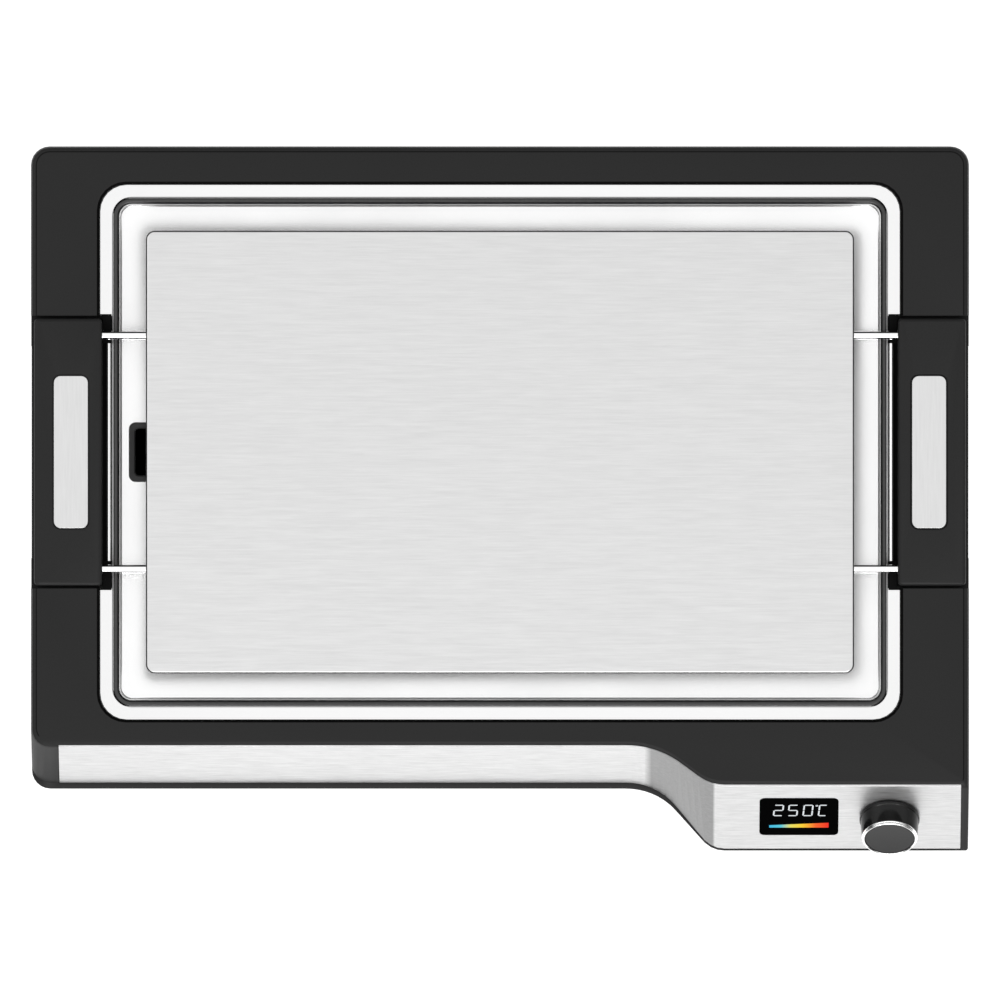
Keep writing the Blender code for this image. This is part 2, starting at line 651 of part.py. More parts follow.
def make_fascia():
    fascia = front_band("front_fascia", 0, FASCIA_THICKNESS / math.sin(PANEL_TILT), 0, 0)
    cut(fascia, window_block("cut_fascia_window", GAP, -6 * MM, 4 * MM), panel)
    hole_low = (KNOB_X, -CONTROLS_DOWN, -6 * MM)
    hole_high = (KNOB_X, -CONTROLS_DOWN, 4 * MM)
    cut(fascia, cylinder("cut_fascia_bush", BUSH_RADIUS + GAP, hole_low, hole_high), panel)
    return finish_object(fascia, BRUSHED_STEEL)


def make_feet():
    foot_x = BASE_X - 24 * MM
    places = {
        "back_left": (-foot_x, OPENING_Y + BACK_MEMBER / 2),
        "back_right": (foot_x, OPENING_Y + BACK_MEMBER / 2),
        "front_left": (-foot_x, -OPENING_Y - 20 * MM),
        "front_right": (foot_x, fascia_bottom_y(foot_x) + 20 * MM),
    }
    top = FOOT_HEIGHT - GAP
    profile = [(0, top), (7.5 * MM, top), (8 * MM, 0.8 * MM), (7.2 * MM, 0), (0, 0)]
    for place, (x, y) in places.items():
        foot = turned(f"foot_{place}", profile, steps=24)
        foot.location = (x, y, 0)
        finish_object(foot, RUBBER)


def screw_mesh(name, head_radius, head_height, shank_radius, shank_length):
    """A pan-head screw standing head down, its head's underside at local z = 0."""
    profile = [
        (0, shank_length), (shank_radius * 0.6, shank_length), (shank_radius, shank_length - 1 * MM),
        (shank_radius, 0), (head_radius, 0), (head_radius, -head_height * 0.5),
        (head_radius * 0.7, -head_height), (0, -head_height),
    ]
    return turned(name, profile, steps=10)


def make_cover_screws():
    for place, (x, y) in POSTS.items():
        screw = screw_mesh(f"cover_screw_{place}", 3.2 * MM, 0.9 * MM, PILOT_RADIUS - 0.15 * MM, 12 * MM)
        screw.location = (x, y, BASE_BOTTOM + 1 * MM - GAP / 2)
        finish_object(screw, SCREW_STEEL)


def make_stop_bars():
    for side, sign in (("left", -1), ("right", 1)):
        x = sign * STOP_BAR_X
        front_end = (x, -STOP_BAR_HALF, STOP_BAR_Z)
        back_end = (x, STOP_BAR_HALF, STOP_BAR_Z)
        bar = cylinder(f"tray_stop_bar_{side}", STOP_BAR_DIAMETER / 2, front_end, back_end, 16)
        finish_object(bar, CHROME)


def make_mains_inlet():
    """Appliance inlet with three flat pins, flush in the base's right side."""
    front = BASE_X - 0.2 * MM
    back = BASE_X - 25 * MM
    floor = front - 15 * MM
    inlet = inlet_block("mains_inlet", INLET_BODY, 0, back, front)
    join(inlet, inlet_block("add_inlet_flange", INLET_FLANGE, 0, front - FLANGE_DEPTH + GAP, front))
    cut(inlet, inlet_block("cut_inlet_cavity", (12 * MM, 8.2 * MM), 0, floor, front + CUT_PAST))
    for pin, (y, z) in {"left": (-7 * MM, 1 * MM), "right": (7 * MM, 1 * MM), "earth": (0, -3 * MM)}.items():
        low = (floor - 1 * MM, INLET_Y + y - 1 * MM, INLET_Z + z - 2 * MM)
        high = (front - 5 * MM, INLET_Y + y + 1 * MM, INLET_Z + z + 2 * MM)
        join(inlet, box(f"add_inlet_pin_{pin}", low, high))
    return finish_object(inlet, BLACK_PLASTIC)


def make_contact_socket():
    """Heat-proof socket under the right handle's recess."""
    top = RECESS_FLOOR - GAP
    shoulder = RECESS_FLOOR - WALL - GAP
    socket = socket_block("contact_socket", (7.5 * MM, 21 * MM), 0, shoulder - 16 * MM, shoulder)
    join(socket, socket_block("add_socket_collar", SOCKET_COLLAR, 0, shoulder - 2 * MM, top))
    for i in range(-2, 3):
        y = i * SOCKET_PITCH
        hole_low = (SOCKET_X, y, shoulder - 13 * MM)
        hole_high = (SOCKET_X, y, top + CUT_PAST)
        cut(socket, cylinder(f"cut_contact_{i + 2}", 2 * MM, hole_low, hole_high, 16))
    return finish_object(socket, CERAMIC)


def make_power_parts():
    board_top = BOARD_BOTTOM + 1.6 * MM
    board = box(
        "power_board",
        (BOARD_X - 44 * MM, BOARD_Y - 15.5 * MM, BOARD_BOTTOM),
        (BOARD_X + 44 * MM, BOARD_Y + 15.5 * MM, board_top),
    )
    finish_object(board, BOARD_GREEN)
    relay = box(
        "heater_relay",
        (BOARD_X - 28 * MM, BOARD_Y - 8 * MM, board_top + GAP),
        (BOARD_X, BOARD_Y + 6 * MM, board_top + 16 * MM),
    )
    bevel = relay.modifiers.new("edges", "BEVEL")
    bevel.width = 0.5 * MM
    finish_object(relay, RELAY_BLUE)

    terminal = (BOARD_X + 30 * MM, BOARD_Y + 4 * MM, board_top + 3.2 * MM)
    inlet_back = (BASE_X - 25 * MM - GAP - 2.2 * MM, INLET_Y, INLET_Z)
    mains_route = [
        inlet_back,
        (inlet_back[0] - 2 * MM, INLET_Y - 10 * MM, INLET_Z - 4 * MM),
        (inlet_back[0] - 3 * MM, INLET_Y - 24 * MM, 24 * MM),
        (inlet_back[0] - 10 * MM, INLET_Y - 41 * MM, 20 * MM),
        terminal,
    ]
    finish_object(tube("mains_harness", smooth_route(mains_route, 5 * MM), 2.2 * MM), CABLE_BLACK)

    socket_bottom = RECESS_FLOOR - WALL - 16 * MM - 3 * GAP
    heater_route = [
        (SOCKET_X, -6 * MM, socket_bottom - 2.5 * MM),
        (SOCKET_X - 1 * MM, -22 * MM, 13.5 * MM),
        (SOCKET_X - 1 * MM, -60 * MM, 12 * MM),
        (SOCKET_X - 2 * MM, INLET_Y + 20 * MM, 12 * MM),
        (SOCKET_X - 3 * MM, INLET_Y - 22 * MM, 12.5 * MM),
        (BOARD_X + 42 * MM, BOARD_Y - 4 * MM, board_top + 4 * MM),
        (BOARD_X + 30 * MM, BOARD_Y - 6 * MM, board_top + 3.2 * MM),
    ]
    finish_object(tube("heater_harness", smooth_route(heater_route, 6 * MM), 2.2 * MM), SLEEVE_WHITE)


# ---------------------------------------------------------------- controls, in the panel's own axes
ENCODER_BODY_LOW = -12 * MM
WINDOW_BACK = -2.6 * MM


def make_display():
    window = window_block("display_window", 0, WINDOW_BACK, 0.2 * MM)
    finish_object(window, DISPLAY_BLACK, panel)
    module = rounded_block(
        "display_module", WINDOW_WIDTH / 2 - 2 * MM, WINDOW_HEIGHT / 2 - 3 * MM, 1 * MM,
        ENCODER_BODY_LOW, WINDOW_BACK - GAP, centre=(WINDOW_X, -CONTROLS_DOWN), steps=2,
    )
    finish_object(module, BLACK_PLASTIC, panel)
    board = box(
        "control_board",
        (WINDOW_X - 26 * MM, -CONTROLS_DOWN - 17.5 * MM, ENCODER_BODY_LOW - GAP - 1.6 * MM),
        (KNOB_X + 18 * MM, -CONTROLS_DOWN + 17.5 * MM, ENCODER_BODY_LOW - GAP),
    )
    finish_object(board, BOARD_GREEN, panel)


def make_encoder():
    """Rotary encoder: fixed body with its bush and nut, sprung plunger, and turning shaft."""
    centre = Vector((KNOB_X, -CONTROLS_DOWN, 0))
    shaft_radius = 3 * MM
    bush_top = 3.4 * MM
    bore_floor = -10.6 * MM
    body = box(
        "encoder_body",
        (centre.x - 7 * MM, centre.y - 7 * MM, ENCODER_BODY_LOW),
        (centre.x + 7 * MM, centre.y + 7 * MM, -FRONT_WALL - GAP),
    )
    bush_low = centre + Vector((0, 0, -8 * MM))
    join(body, cylinder("add_bush", BUSH_RADIUS, bush_low, centre + Vector((0, 0, bush_top))), panel)
    bore_low = centre + Vector((0, 0, bore_floor))
    cut(body, cylinder("cut_bore", shaft_radius + 0.2 * MM, bore_low, centre + Vector((0, 0, 8 * MM))), panel)
    finish_object(body, ALUMINIUM, panel)

    nut_low = centre + Vector((0, 0, GAP))
    nut = cylinder("encoder_nut", 6.5 * MM, nut_low, centre + Vector((0, 0, 2.3 * MM)), 6)
    thread_low = centre + Vector((0, 0, -1 * MM))
    thread = cylinder("cut_thread", BUSH_RADIUS + GAP, thread_low, centre + Vector((0, 0, 4 * MM)))
    cut(nut, thread, panel)
    finish_object(nut, SCREW_STEEL, panel)

    plunger_profile = [(0, 1.3 * MM), (2.7 * MM, 1.3 * MM), (2.7 * MM, 0), (0, 0)]
    plunger = turned("encoder_plunger", plunger_profile, steps=16)
    plunger.location = centre + Vector((0, 0, bore_floor + KNOB_PUSH + 0.2 * MM))
    finish_object(plunger, BLACK_PLASTIC, panel)

    shaft_low = bore_floor + KNOB_PUSH + 0.2 * MM + 1.3 * MM + GAP
    shaft_profile = [(0, 12 * MM), (shaft_radius, 12 * MM), (shaft_radius, shaft_low), (0, shaft_low)]
    shaft = turned("encoder_shaft", shaft_profile, steps=16)
    shaft.location = centre
    finish_object(shaft, ALUMINIUM, panel)


def make_knob():
    """Push-and-turn knob: gloss body, bright ring and satin cap, turned about the encoder's axis."""
    base = KNOB_PUSH + 0.4 * MM
    radius = KNOB_DIAMETER / 2
    top_radius = KNOB_TOP_DIAMETER / 2
    ring_low = KNOB_LENGTH - 1.7 * MM
    seat = ring_low - GAP
    axis_hole = 3 * MM + GAP
    body = turned("knob_body", [
        (0, seat), (top_radius - 0.05 * MM, seat), (radius - 0.5 * MM, base + 2 * MM),
        (radius, base + 1.7 * MM), (radius, base), (9.5 * MM, base), (9.5 * MM, 4.8 * MM),
        (axis_hole, 4.8 * MM), (axis_hole, 12.3 * MM), (0, 12.3 * MM),
    ], steps=32)
    ring_inner = top_radius - 1.7 * MM
    ring = turned("knob_ring", [
        (ring_inner, KNOB_LENGTH - 0.3 * MM), (ring_inner + 0.3 * MM, KNOB_LENGTH),
        (top_radius - 0.5 * MM, KNOB_LENGTH), (top_radius, KNOB_LENGTH - 0.5 * MM),
        (top_radius, ring_low), (ring_inner, ring_low),
    ], steps=32, closed=True)
    cap_radius = ring_inner - GAP
    cap = turned("knob_cap", [
        (0, KNOB_LENGTH - 0.5 * MM), (cap_radius - 0.4 * MM, KNOB_LENGTH - 0.5 * MM),
        (cap_radius, KNOB_LENGTH - 0.8 * MM), (cap_radius, ring_low), (0, ring_low),
    ], steps=32)
    for piece, finish in ((body, GLOSS_BLACK), (ring, CHROME), (cap, CAP_GREY)):
        piece.location = (KNOB_X, -CONTROLS_DOWN, 0)
        finish_object(piece, finish, panel)


# ---------------------------------------------------------------- drip tray and grease cup
DRAIN_X = -PLATE_X + DRAIN_UNDER_PLATE - DRAIN_LENGTH / 2
DRAIN_LAP = 1.2 * MM              # funnel's flange over the tray's floor
CUP_X = CUP_LENGTH / 2 - (LEDGE_INNER - 1.5 * MM)   # clear of the base's ledge when lifted out
CUP_TOP = TRAY_UNDERSIDE - 3.6 * MM
CUP_FLANGE = 1.7 * MM
RAIL_HALF = CUP_WIDTH / 2 + 1.5 * MM


def make_drip_tray():
    """Pressed tray: floor, rounded walls and a rolled rim, as one closed skin of even thickness."""
    wall_foot = RIM_BEAD + 1 * MM
    bend_inset = wall_foot + TRAY_FLOOR_RADIUS
    bend_z = TRAY_FLOOR + TRAY_FLOOR_RADIUS
    bead = RIM_BEAD / 2
    outer_bend = arc(bend_inset, bend_z, TRAY_FLOOR_RADIUS + TRAY_SHEET, 270, 180, 3)
    inner_bend = arc(bend_inset, bend_z, TRAY_FLOOR_RADIUS, 180, 270, 3)
    rolled = arc(bead, RIM_TOP - bead, bead, -55, -360, 8)
    section = outer_bend + rolled + inner_bend
    rings = [
        rounded_ring(TRAY_X - inset, TRAY_Y - inset, max(TRAY_CORNER - inset, 3 * MM), z, steps=6)
        for inset, z in section
    ]
    tray = loft("drip_tray", rings)
    half_x = DRAIN_LENGTH / 2 - DRAIN_LAP
    half_y = DRAIN_WIDTH / 2 - DRAIN_LAP
    hole = rounded_block(
        "cut_drain", half_x, half_y, DRAIN_CORNER - 1 * MM, TRAY_UNDERSIDE - CUT_PAST, TRAY_FLOOR + CUT_PAST,
        centre=(DRAIN_X, 0),
    )
    cut(tray, hole)
    return finish_object(tray, POLISHED_STEEL)


def make_drain_funnel():
    """Funnel with sloping sides that drops grease through the tray's floor."""
    half_x = DRAIN_LENGTH / 2
    half_y = DRAIN_WIDTH / 2
    low = TRAY_FLOOR + GAP
    high = low + 1.5 * MM
    spout = CUP_TOP + GAP + 0.2 * MM
    neck = DRAIN_LAP + GAP
    sections = [
        (neck, neck, low), (0.2 * MM, 0.2 * MM, low), (0, 0, high - 0.3 * MM), (0.3 * MM, 0.3 * MM, high),
        (2.9 * MM, 4.8 * MM, TRAY_UNDERSIDE + 0.4 * MM), (3.7 * MM, 5.2 * MM, spout),
        (2.6 * MM, 4.1 * MM, spout), (neck, neck, TRAY_UNDERSIDE - 0.6 * MM),
    ]
    rings = []
    for dx, dy, z in sections:
        corner = max(DRAIN_CORNER - min(dx, dy) * 0.7, 1 * MM)
        rings.append(rounded_ring(half_x - dx, half_y - dy, corner, z, (DRAIN_X, 0), 4))
    return finish_object(loft("drain_funnel", rings, closed=True), BLACK_PLASTIC)


def make_cup_rails():
    """Two angle rails under the tray, which carry the grease cup's flange."""
    foot = CUP_TOP - CUP_FLANGE - GAP
    for end, sign in (("back", 1), ("front", -1)):
        section = [
            (RAIL_HALF - 6.5 * MM, foot - 1 * MM), (RAIL_HALF + 1 * MM, foot - 1 * MM),
            (RAIL_HALF + 1 * MM, TRAY_UNDERSIDE - GAP), (RAIL_HALF, TRAY_UNDERSIDE - GAP),
            (RAIL_HALF, foot), (RAIL_HALF - 6.5 * MM, foot),
        ]
        rings = [
            [Vector((x, sign * y, z)) for y, z in section]
            for x in (CUP_X - CUP_LENGTH / 2, CUP_X + CUP_LENGTH / 2)
        ]
        finish_object(loft(f"cup_rail_{end}", rings), POLISHED_STEEL)


def make_grease_cup():
    half_x = CUP_LENGTH / 2
    half_y = CUP_WIDTH / 2
    lip = 6 * MM
    low = CUP_TOP - CUP_DEPTH
    sections = [
        (lip + 2.5 * MM, low), (lip + 1 * MM, low + 1.5 * MM), (lip, CUP_TOP - CUP_FLANGE),
        (0, CUP_TOP - CUP_FLANGE), (0, CUP_TOP), (lip + 1.2 * MM, CUP_TOP),
        (lip + 2.4 * MM, low + 2 * MM), (lip + 3.4 * MM, low + 1.3 * MM),
    ]
    rings = [
        rounded_ring(half_x - inset, half_y - inset, max(6 * MM - inset * 0.5, 2 * MM), z, (CUP_X, 0), 4)
        for inset, z in sections
    ]
    return finish_object(loft("grease_cup", rings), BLACK_PLASTIC)


# ---------------------------------------------------------------- cooking unit
def make_plate():
    plate = rounded_block(
        "cooking_plate", PLATE_X, PLATE_Y, PLATE_CORNER, PLATE_BOTTOM, PLATE_TOP, edge=0.6 * MM, steps=6
    )
    for x, y, place in bracket_screw_places():
        thread_low = (x, y, PLATE_BOTTOM - CUT_PAST)
        thread_high = (x, y, PLATE_BOTTOM + 5.5 * MM)
        cut(plate, cylinder(f"cut_plate_thread_{place}", 1.6 * MM, thread_low, thread_high, 12))
    return finish_object(plate, PLATE_METAL)


def bracket_screw_places():
    x = BRACKET_INNER + BRACKET_WIDTH / 2
    y = ROD_Y - 22 * MM
    for side, sx in (("left", -1), ("right", 1)):
        for end, sy in (("back", 1), ("front", -1)):
            yield sx * x, sy * y, f"{side}_{end}"


def make_brackets():
    """Bars under the plate's ends: the rods are fixed in them and they screw to the plate."""
    top = PLATE_BOTTOM - GAP
    low = (BRACKET_INNER, -ROD_Y - 9 * MM, BRACKET_BOTTOM)
    high = (BRACKET_INNER + BRACKET_WIDTH, ROD_Y + 9 * MM, top)
    for side, box_low, box_high in both_sides(low, high):
        bracket = box(f"plate_bracket_{side}", box_low, box_high)
        for end, sign in (("back", 1), ("front", -1)):
            y = sign * ROD_Y
            start = (box_low[0] - CUT_PAST, y, ROD_Z - 0.1 * MM)
            stop = (box_high[0] + CUT_PAST, y, ROD_Z - 0.1 * MM)
            cut(bracket, slot_cutter(f"cut_rod_seat_{side}_{end}", start, stop))
        for x, y, place in bracket_screw_places():
            if place.startswith(side):
                start = (x, y, BRACKET_BOTTOM - CUT_PAST)
                cut(bracket, cylinder(f"cut_bracket_hole_{place}", 2 * MM, start, (x, y, top + CUT_PAST), 12))
        finish_object(bracket, ALUMINIUM)
    for x, y, place in bracket_screw_places():
        screw = screw_mesh(f"bracket_screw_{place}", 3.2 * MM, 1.6 * MM, 1.45 * MM, 12.5 * MM)
        screw.location = (x, y, BRACKET_BOTTOM - GAP)
        finish_object(screw, SCREW_STEEL)


def slot_cutter(name, start, stop):
    """A rod's seat, open to the bracket's top face."""
    half = ROD_RADIUS + 0.2 * MM
    x_low, x_high = start[0], stop[0]
    y, z = start[1], start[2]
    section = [(-half, PLATE_BOTTOM + CUT_PAST)]
    section += [(dy, z + dz) for dy, dz in arc(0, 0, half, 180, 360, 10)]
    section += [(half, PLATE_BOTTOM + CUT_PAST)]
    return loft(name, [[Vector((x, y + dy, dz)) for dy, dz in section] for x in (x_low, x_high)])


def make_rods():
    """Four bright tubes from the handles, over the tray's rim, to the brackets under the plate."""
    half = (ROD_OUTER_END - ROD_INNER_END) / 2
    middle = (ROD_OUTER_END + ROD_INNER_END) / 2
    bore = ROD_BORE / 2
    for side, sx in (("left", -1), ("right", 1)):
        for end, sy in (("back", 1), ("front", -1)):
            rod = turned(
                f"handle_rod_{side}_{end}",
                [(ROD_RADIUS, half), (ROD_RADIUS, -half), (bore, -half), (bore, half)],
                steps=16, closed=True,
            )
            rod.rotation_euler.y = math.pi / 2
            rod.location = (sx * middle, sy * ROD_Y, ROD_Z)
            finish_object(rod, CHROME)


def make_handles():
    shell_low = HANDLE_BOTTOM + HANDLE_COVER + GAP
    half_x = HANDLE_WIDTH / 2
    half_y = HANDLE_LENGTH / 2
    hollow_half = ROD_Y - 9 * MM
    rod_seat = ROD_RADIUS + 0.15 * MM
    for side, sign in (("left", -1), ("right", 1)):
        centre = (sign * HANDLE_X, 0)
        shell = loft(f"handle_shell_{side}", [
            rounded_ring(half_x - inset, half_y - inset, corner, z, centre, 4)
            for inset, corner, z in (
                (0, 2.4 * MM, shell_low), (0, 2.4 * MM, HANDLE_TOP - 1.8 * MM),
                (0.5 * MM, 2.1 * MM, HANDLE_TOP - 0.6 * MM), (1.8 * MM, 1.4 * MM, HANDLE_TOP),
            )
        ])
        hollow_low = (centre[0] - half_x + WALL, -hollow_half, shell_low - CUT_PAST)
        hollow_high = (centre[0] + half_x - WALL, hollow_half, HANDLE_TOP - 3.5 * MM)
        cut(shell, box(f"cut_handle_hollow_{side}", hollow_low, hollow_high))
        inlay_centre = (sign * INLAY_X, 0)
        pocket = rounded_block(
            f"cut_inlay_{side}", INLAY_WIDTH / 2 + INLAY_GROOVE, INLAY_LENGTH / 2 + INLAY_GROOVE,
            INLAY_CORNER + INLAY_GROOVE, HANDLE_TOP - INLAY_THICKNESS - GAP, HANDLE_TOP + CUT_PAST,
            inlay_centre,
        )
        cut(shell, pocket)
        for end, sy in (("back", 1), ("front", -1)):
            start = (sign * (HANDLE_X - half_x - CUT_PAST), sy * ROD_Y, ROD_Z)
            stop = (sign * (ROD_OUTER_END + GAP), sy * ROD_Y, ROD_Z)
            cut(shell, cylinder(f"cut_handle_rod_{side}_{end}", rod_seat, start, stop))
        screw_x, screw_y = sign * HANDLE_X, hollow_half + 3.5 * MM
        pilot_low = (screw_x, screw_y, shell_low - CUT_PAST)
        pilot_high = (screw_x, screw_y, shell_low + 5.6 * MM)
        cut(shell, cylinder(f"cut_handle_pilot_{side}", PILOT_RADIUS, pilot_low, pilot_high, 12))
        finish_object(shell, BLACK_PLASTIC)

        inlay = rounded_block(
            f"handle_inlay_{side}", INLAY_WIDTH / 2, INLAY_LENGTH / 2, INLAY_CORNER,
            HANDLE_TOP - INLAY_THICKNESS, HANDLE_TOP, inlay_centre, edge=0.15 * MM,
        )
        finish_object(inlay, BRUSHED_STEEL)

        cover = rounded_block(
            f"handle_cover_{side}", half_x - 0.2 * MM, half_y - 0.2 * MM, 2.2 * MM,
            HANDLE_BOTTOM, HANDLE_BOTTOM + HANDLE_COVER, centre, edge=0.5 * MM, steps=4,
        )
        hole_low = (screw_x, screw_y, HANDLE_BOTTOM - CUT_PAST)
        hole_high = (screw_x, screw_y, shell_low + 1 * MM)
        cut(cover, cylinder(f"cut_cover_hole_{side}", 2 * MM, hole_low, hole_high, 14))
        head_top = (screw_x, screw_y, HANDLE_BOTTOM + 1.3 * MM)
        cut(cover, cylinder(f"cut_cover_head_{side}", 3.6 * MM, hole_low, head_top, 16))
        if side == "right":
            plug_low, plug_high = HANDLE_BOTTOM - CUT_PAST, shell_low + CUT_PAST
            cut(cover, socket_block("cut_cover_plug", PLUG_HALF, GAP, plug_low, plug_high))
        finish_object(cover, BLACK_PLASTIC)

        screw = screw_mesh(f"handle_screw_{side}", 3.2 * MM, 1.0 * MM, PILOT_RADIUS - 0.15 * MM, 6 * MM)
        screw.location = (screw_x, screw_y, HANDLE_BOTTOM + 1.3 * MM - GAP / 2)
        finish_object(screw, SCREW_STEEL)


PLUG_HALF = (5.4 * MM, 16 * MM)


def make_contact_plug():
    """Plug in the right handle: two heater pins, an earth pin and two sensor pins."""
    low = HANDLE_BOTTOM + 0.2 * MM
    plug = socket_block("contact_plug", PLUG_HALF, 0, low, low + 7 * MM)
    for i in range(-2, 3):
        radius = 1.6 * MM if i % 2 == 0 else 1.1 * MM
        y = i * SOCKET_PITCH
        pin_low = (SOCKET_X, y, RECESS_FLOOR - 13 * MM)
        pin_high = (SOCKET_X, y, low + 2 * MM)
        join(plug, cylinder(f"add_pin_{i + 2}", radius, pin_low, pin_high, 14))
    return finish_object(plug, CERAMIC)


ELEMENT_INNER_Y = 28 * MM
ELEMENT_OUTER_Y = COVER_Y - 14 * MM
ELEMENT_END_Y = 12 * MM


def make_heating_element():
    """Tubular element bent into four runs, both ends at the plate's right side."""
    bend = (ELEMENT_OUTER_Y - ELEMENT_INNER_Y) / 2
    bend_y = (ELEMENT_OUTER_Y + ELEMENT_INNER_Y) / 2
    left = -COVER_X + 12 * MM + bend
    right = COVER_X - 32 * MM - ELEMENT_INNER_Y
    corner = 16 * MM
    end_x = COVER_X + 4 * MM
    down_x = COVER_X - 12 * MM
    upper = [(end_x, ELEMENT_END_Y)]
    upper += arc(down_x + 4 * MM, ELEMENT_END_Y + 4 * MM, 4 * MM, 270, 180, 4)
    upper += arc(down_x - corner, ELEMENT_OUTER_Y - corner, corner, 0, 90, 6)
    upper += arc(left, bend_y, bend, 90, 270, 10)
    upper += arc(right, 0, ELEMENT_INNER_Y, 90, 0, 6)
    lower = [(x, -y) for x, y in reversed(upper[:-1])]
    points = [(x, y, ELEMENT_Z) for x, y in upper + lower]
    return finish_object(tube("heating_element", points, ELEMENT_RADIUS), ALUMINIUM)


def make_element_cover():
    """Shallow steel pan that closes the element in under the plate."""
    low = ELEMENT_Z - ELEMENT_RADIUS - 1.6 * MM
    sheet = 1 * MM
    sections = [
        (2 * MM, low), (0, low + 2 * MM), (0, PLATE_BOTTOM - GAP),
        (sheet, PLATE_BOTTOM - GAP), (sheet, low + 2 * MM), (2 * MM, low + sheet),
    ]
    rings = []
    for inset, z in sections:
        rings.append(rounded_ring(COVER_X - inset, COVER_Y - inset, 8 * MM - inset, z, steps=4))
    cover = loft("element_cover", rings)
    for end, sign in (("back", 1), ("front", -1)):
        y = sign * ELEMENT_END_Y
        notch_low = (COVER_X - 4 * MM, y - ELEMENT_RADIUS - 0.5 * MM, ELEMENT_Z - ELEMENT_RADIUS - 0.5 * MM)
        notch_high = (COVER_X + CUT_PAST, y + ELEMENT_RADIUS + 0.5 * MM, PLATE_BOTTOM + CUT_PAST)
        cut(cover, box(f"cut_element_notch_{end}", notch_low, notch_high))
    return finish_object(cover, POLISHED_STEEL)


def make_thermal_parts():
    top = PLATE_BOTTOM - GAP
    sensor = cylinder("temperature_sensor", 4 * MM, (0, 0, top - 6 * MM), (0, 0, top), 20)
    finish_object(sensor, CERAMIC)
    cutout = cylinder("thermal_cutout", 8 * MM, (-60 * MM, 0, top - 6 * MM), (-60 * MM, 0, top), 24)
    finish_object(cutout, CERAMIC)


def make_heater_leads():
    """Sleeved leads from the plug, inside the right-hand rods, to the element's ends."""
    lead = 1.5 * MM
    for end, sign in (("back", 1), ("front", -1)):
        element_end = (COVER_X + 4 * MM + GAP + lead, sign * (ELEMENT_END_Y + 0.5 * MM), ELEMENT_Z)
        route = [
            element_end,
            (ROD_INNER_END - 6 * MM, sign * (ROD_Y - 26 * MM), ROD_Z),
            (ROD_INNER_END - 5 * MM, sign * (ROD_Y - 5 * MM), ROD_Z),
            (ROD_INNER_END - 1.5 * MM, sign * (ROD_Y - 0.3 * MM), ROD_Z),
            (ROD_INNER_END + 8 * MM, sign * ROD_Y, ROD_Z),
            (ROD_OUTER_END - 2 * MM, sign * ROD_Y, ROD_Z),
        ]
        path = smooth_route(route[:5], 4 * MM) + [Vector(route[5])]
        finish_object(tube(f"heater_lead_{end}", path, lead), SLEEVE_WHITE)


make_base_frame()
make_bottom_cover()
make_fascia()
make_feet()
make_cover_screws()
make_stop_bars()
make_mains_inlet()
make_contact_socket()
make_power_parts()
make_display()
make_encoder()
make_knob()
make_drip_tray()
make_drain_funnel()
make_cup_rails()
make_grease_cup()
make_plate()
make_brackets()
make_rods()
make_handles()
make_contact_plug()
make_heating_element()
make_element_cover()
make_thermal_parts()
make_heater_leads()
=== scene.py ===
"""Looks of the electric griddle: finished pieces, finishes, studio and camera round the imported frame."""

import json
import math

import bmesh
import bpy
from mathutils import Matrix, Vector


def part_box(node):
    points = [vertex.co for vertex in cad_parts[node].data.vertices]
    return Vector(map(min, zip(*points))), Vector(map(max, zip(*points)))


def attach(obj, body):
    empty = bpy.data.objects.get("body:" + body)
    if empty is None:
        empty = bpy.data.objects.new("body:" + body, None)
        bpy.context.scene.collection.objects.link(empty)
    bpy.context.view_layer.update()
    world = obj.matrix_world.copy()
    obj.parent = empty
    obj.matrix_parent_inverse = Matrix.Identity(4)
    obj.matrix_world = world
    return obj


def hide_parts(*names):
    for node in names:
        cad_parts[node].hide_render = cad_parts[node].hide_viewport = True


MM = 0.001
MERGE_DISTANCE = 0.000002
FLAT_ANGLE = 0.6              # degrees; neighbouring CAD triangles flatter than this become one face

TRAY_GAP = 7.0 * MM           # clear space between the tray's rim and the base's opening
TRAY_SHEET = 1.0 * MM
SHOULDER_SHADE_BEVEL = 1.1 * MM    # bevel just inside the base's rounded shoulder, which carries a painted dark shade line
MOUTH_CHAMFER = 1.5 * MM      # chamfer round the base's opening, which carries painted black shade
STEP_FROM_WINDOW = 65.5 * MM  # where the front sheet's S-step, and the painted shade over it, starts and stops, left of the window
STEP_STOP_FROM_WINDOW = 25.5 * MM

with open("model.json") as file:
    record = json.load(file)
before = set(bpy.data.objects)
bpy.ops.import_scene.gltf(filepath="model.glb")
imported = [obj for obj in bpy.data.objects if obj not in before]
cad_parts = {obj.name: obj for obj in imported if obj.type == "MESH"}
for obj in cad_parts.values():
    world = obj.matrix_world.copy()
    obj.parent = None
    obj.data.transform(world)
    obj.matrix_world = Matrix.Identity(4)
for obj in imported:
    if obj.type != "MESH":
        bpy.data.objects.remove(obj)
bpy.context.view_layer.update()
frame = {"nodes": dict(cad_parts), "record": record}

BODY_OF = {node: body for body, nodes in frame["record"]["behaviour"]["bodies"].items() for node in nodes}
SLOT_OF = {part["node"]: part["material_slot"] for part in frame["record"]["subparts"]}
JOINTS = {joint["name"]: joint for joint in frame["record"]["behaviour"]["joints"]}

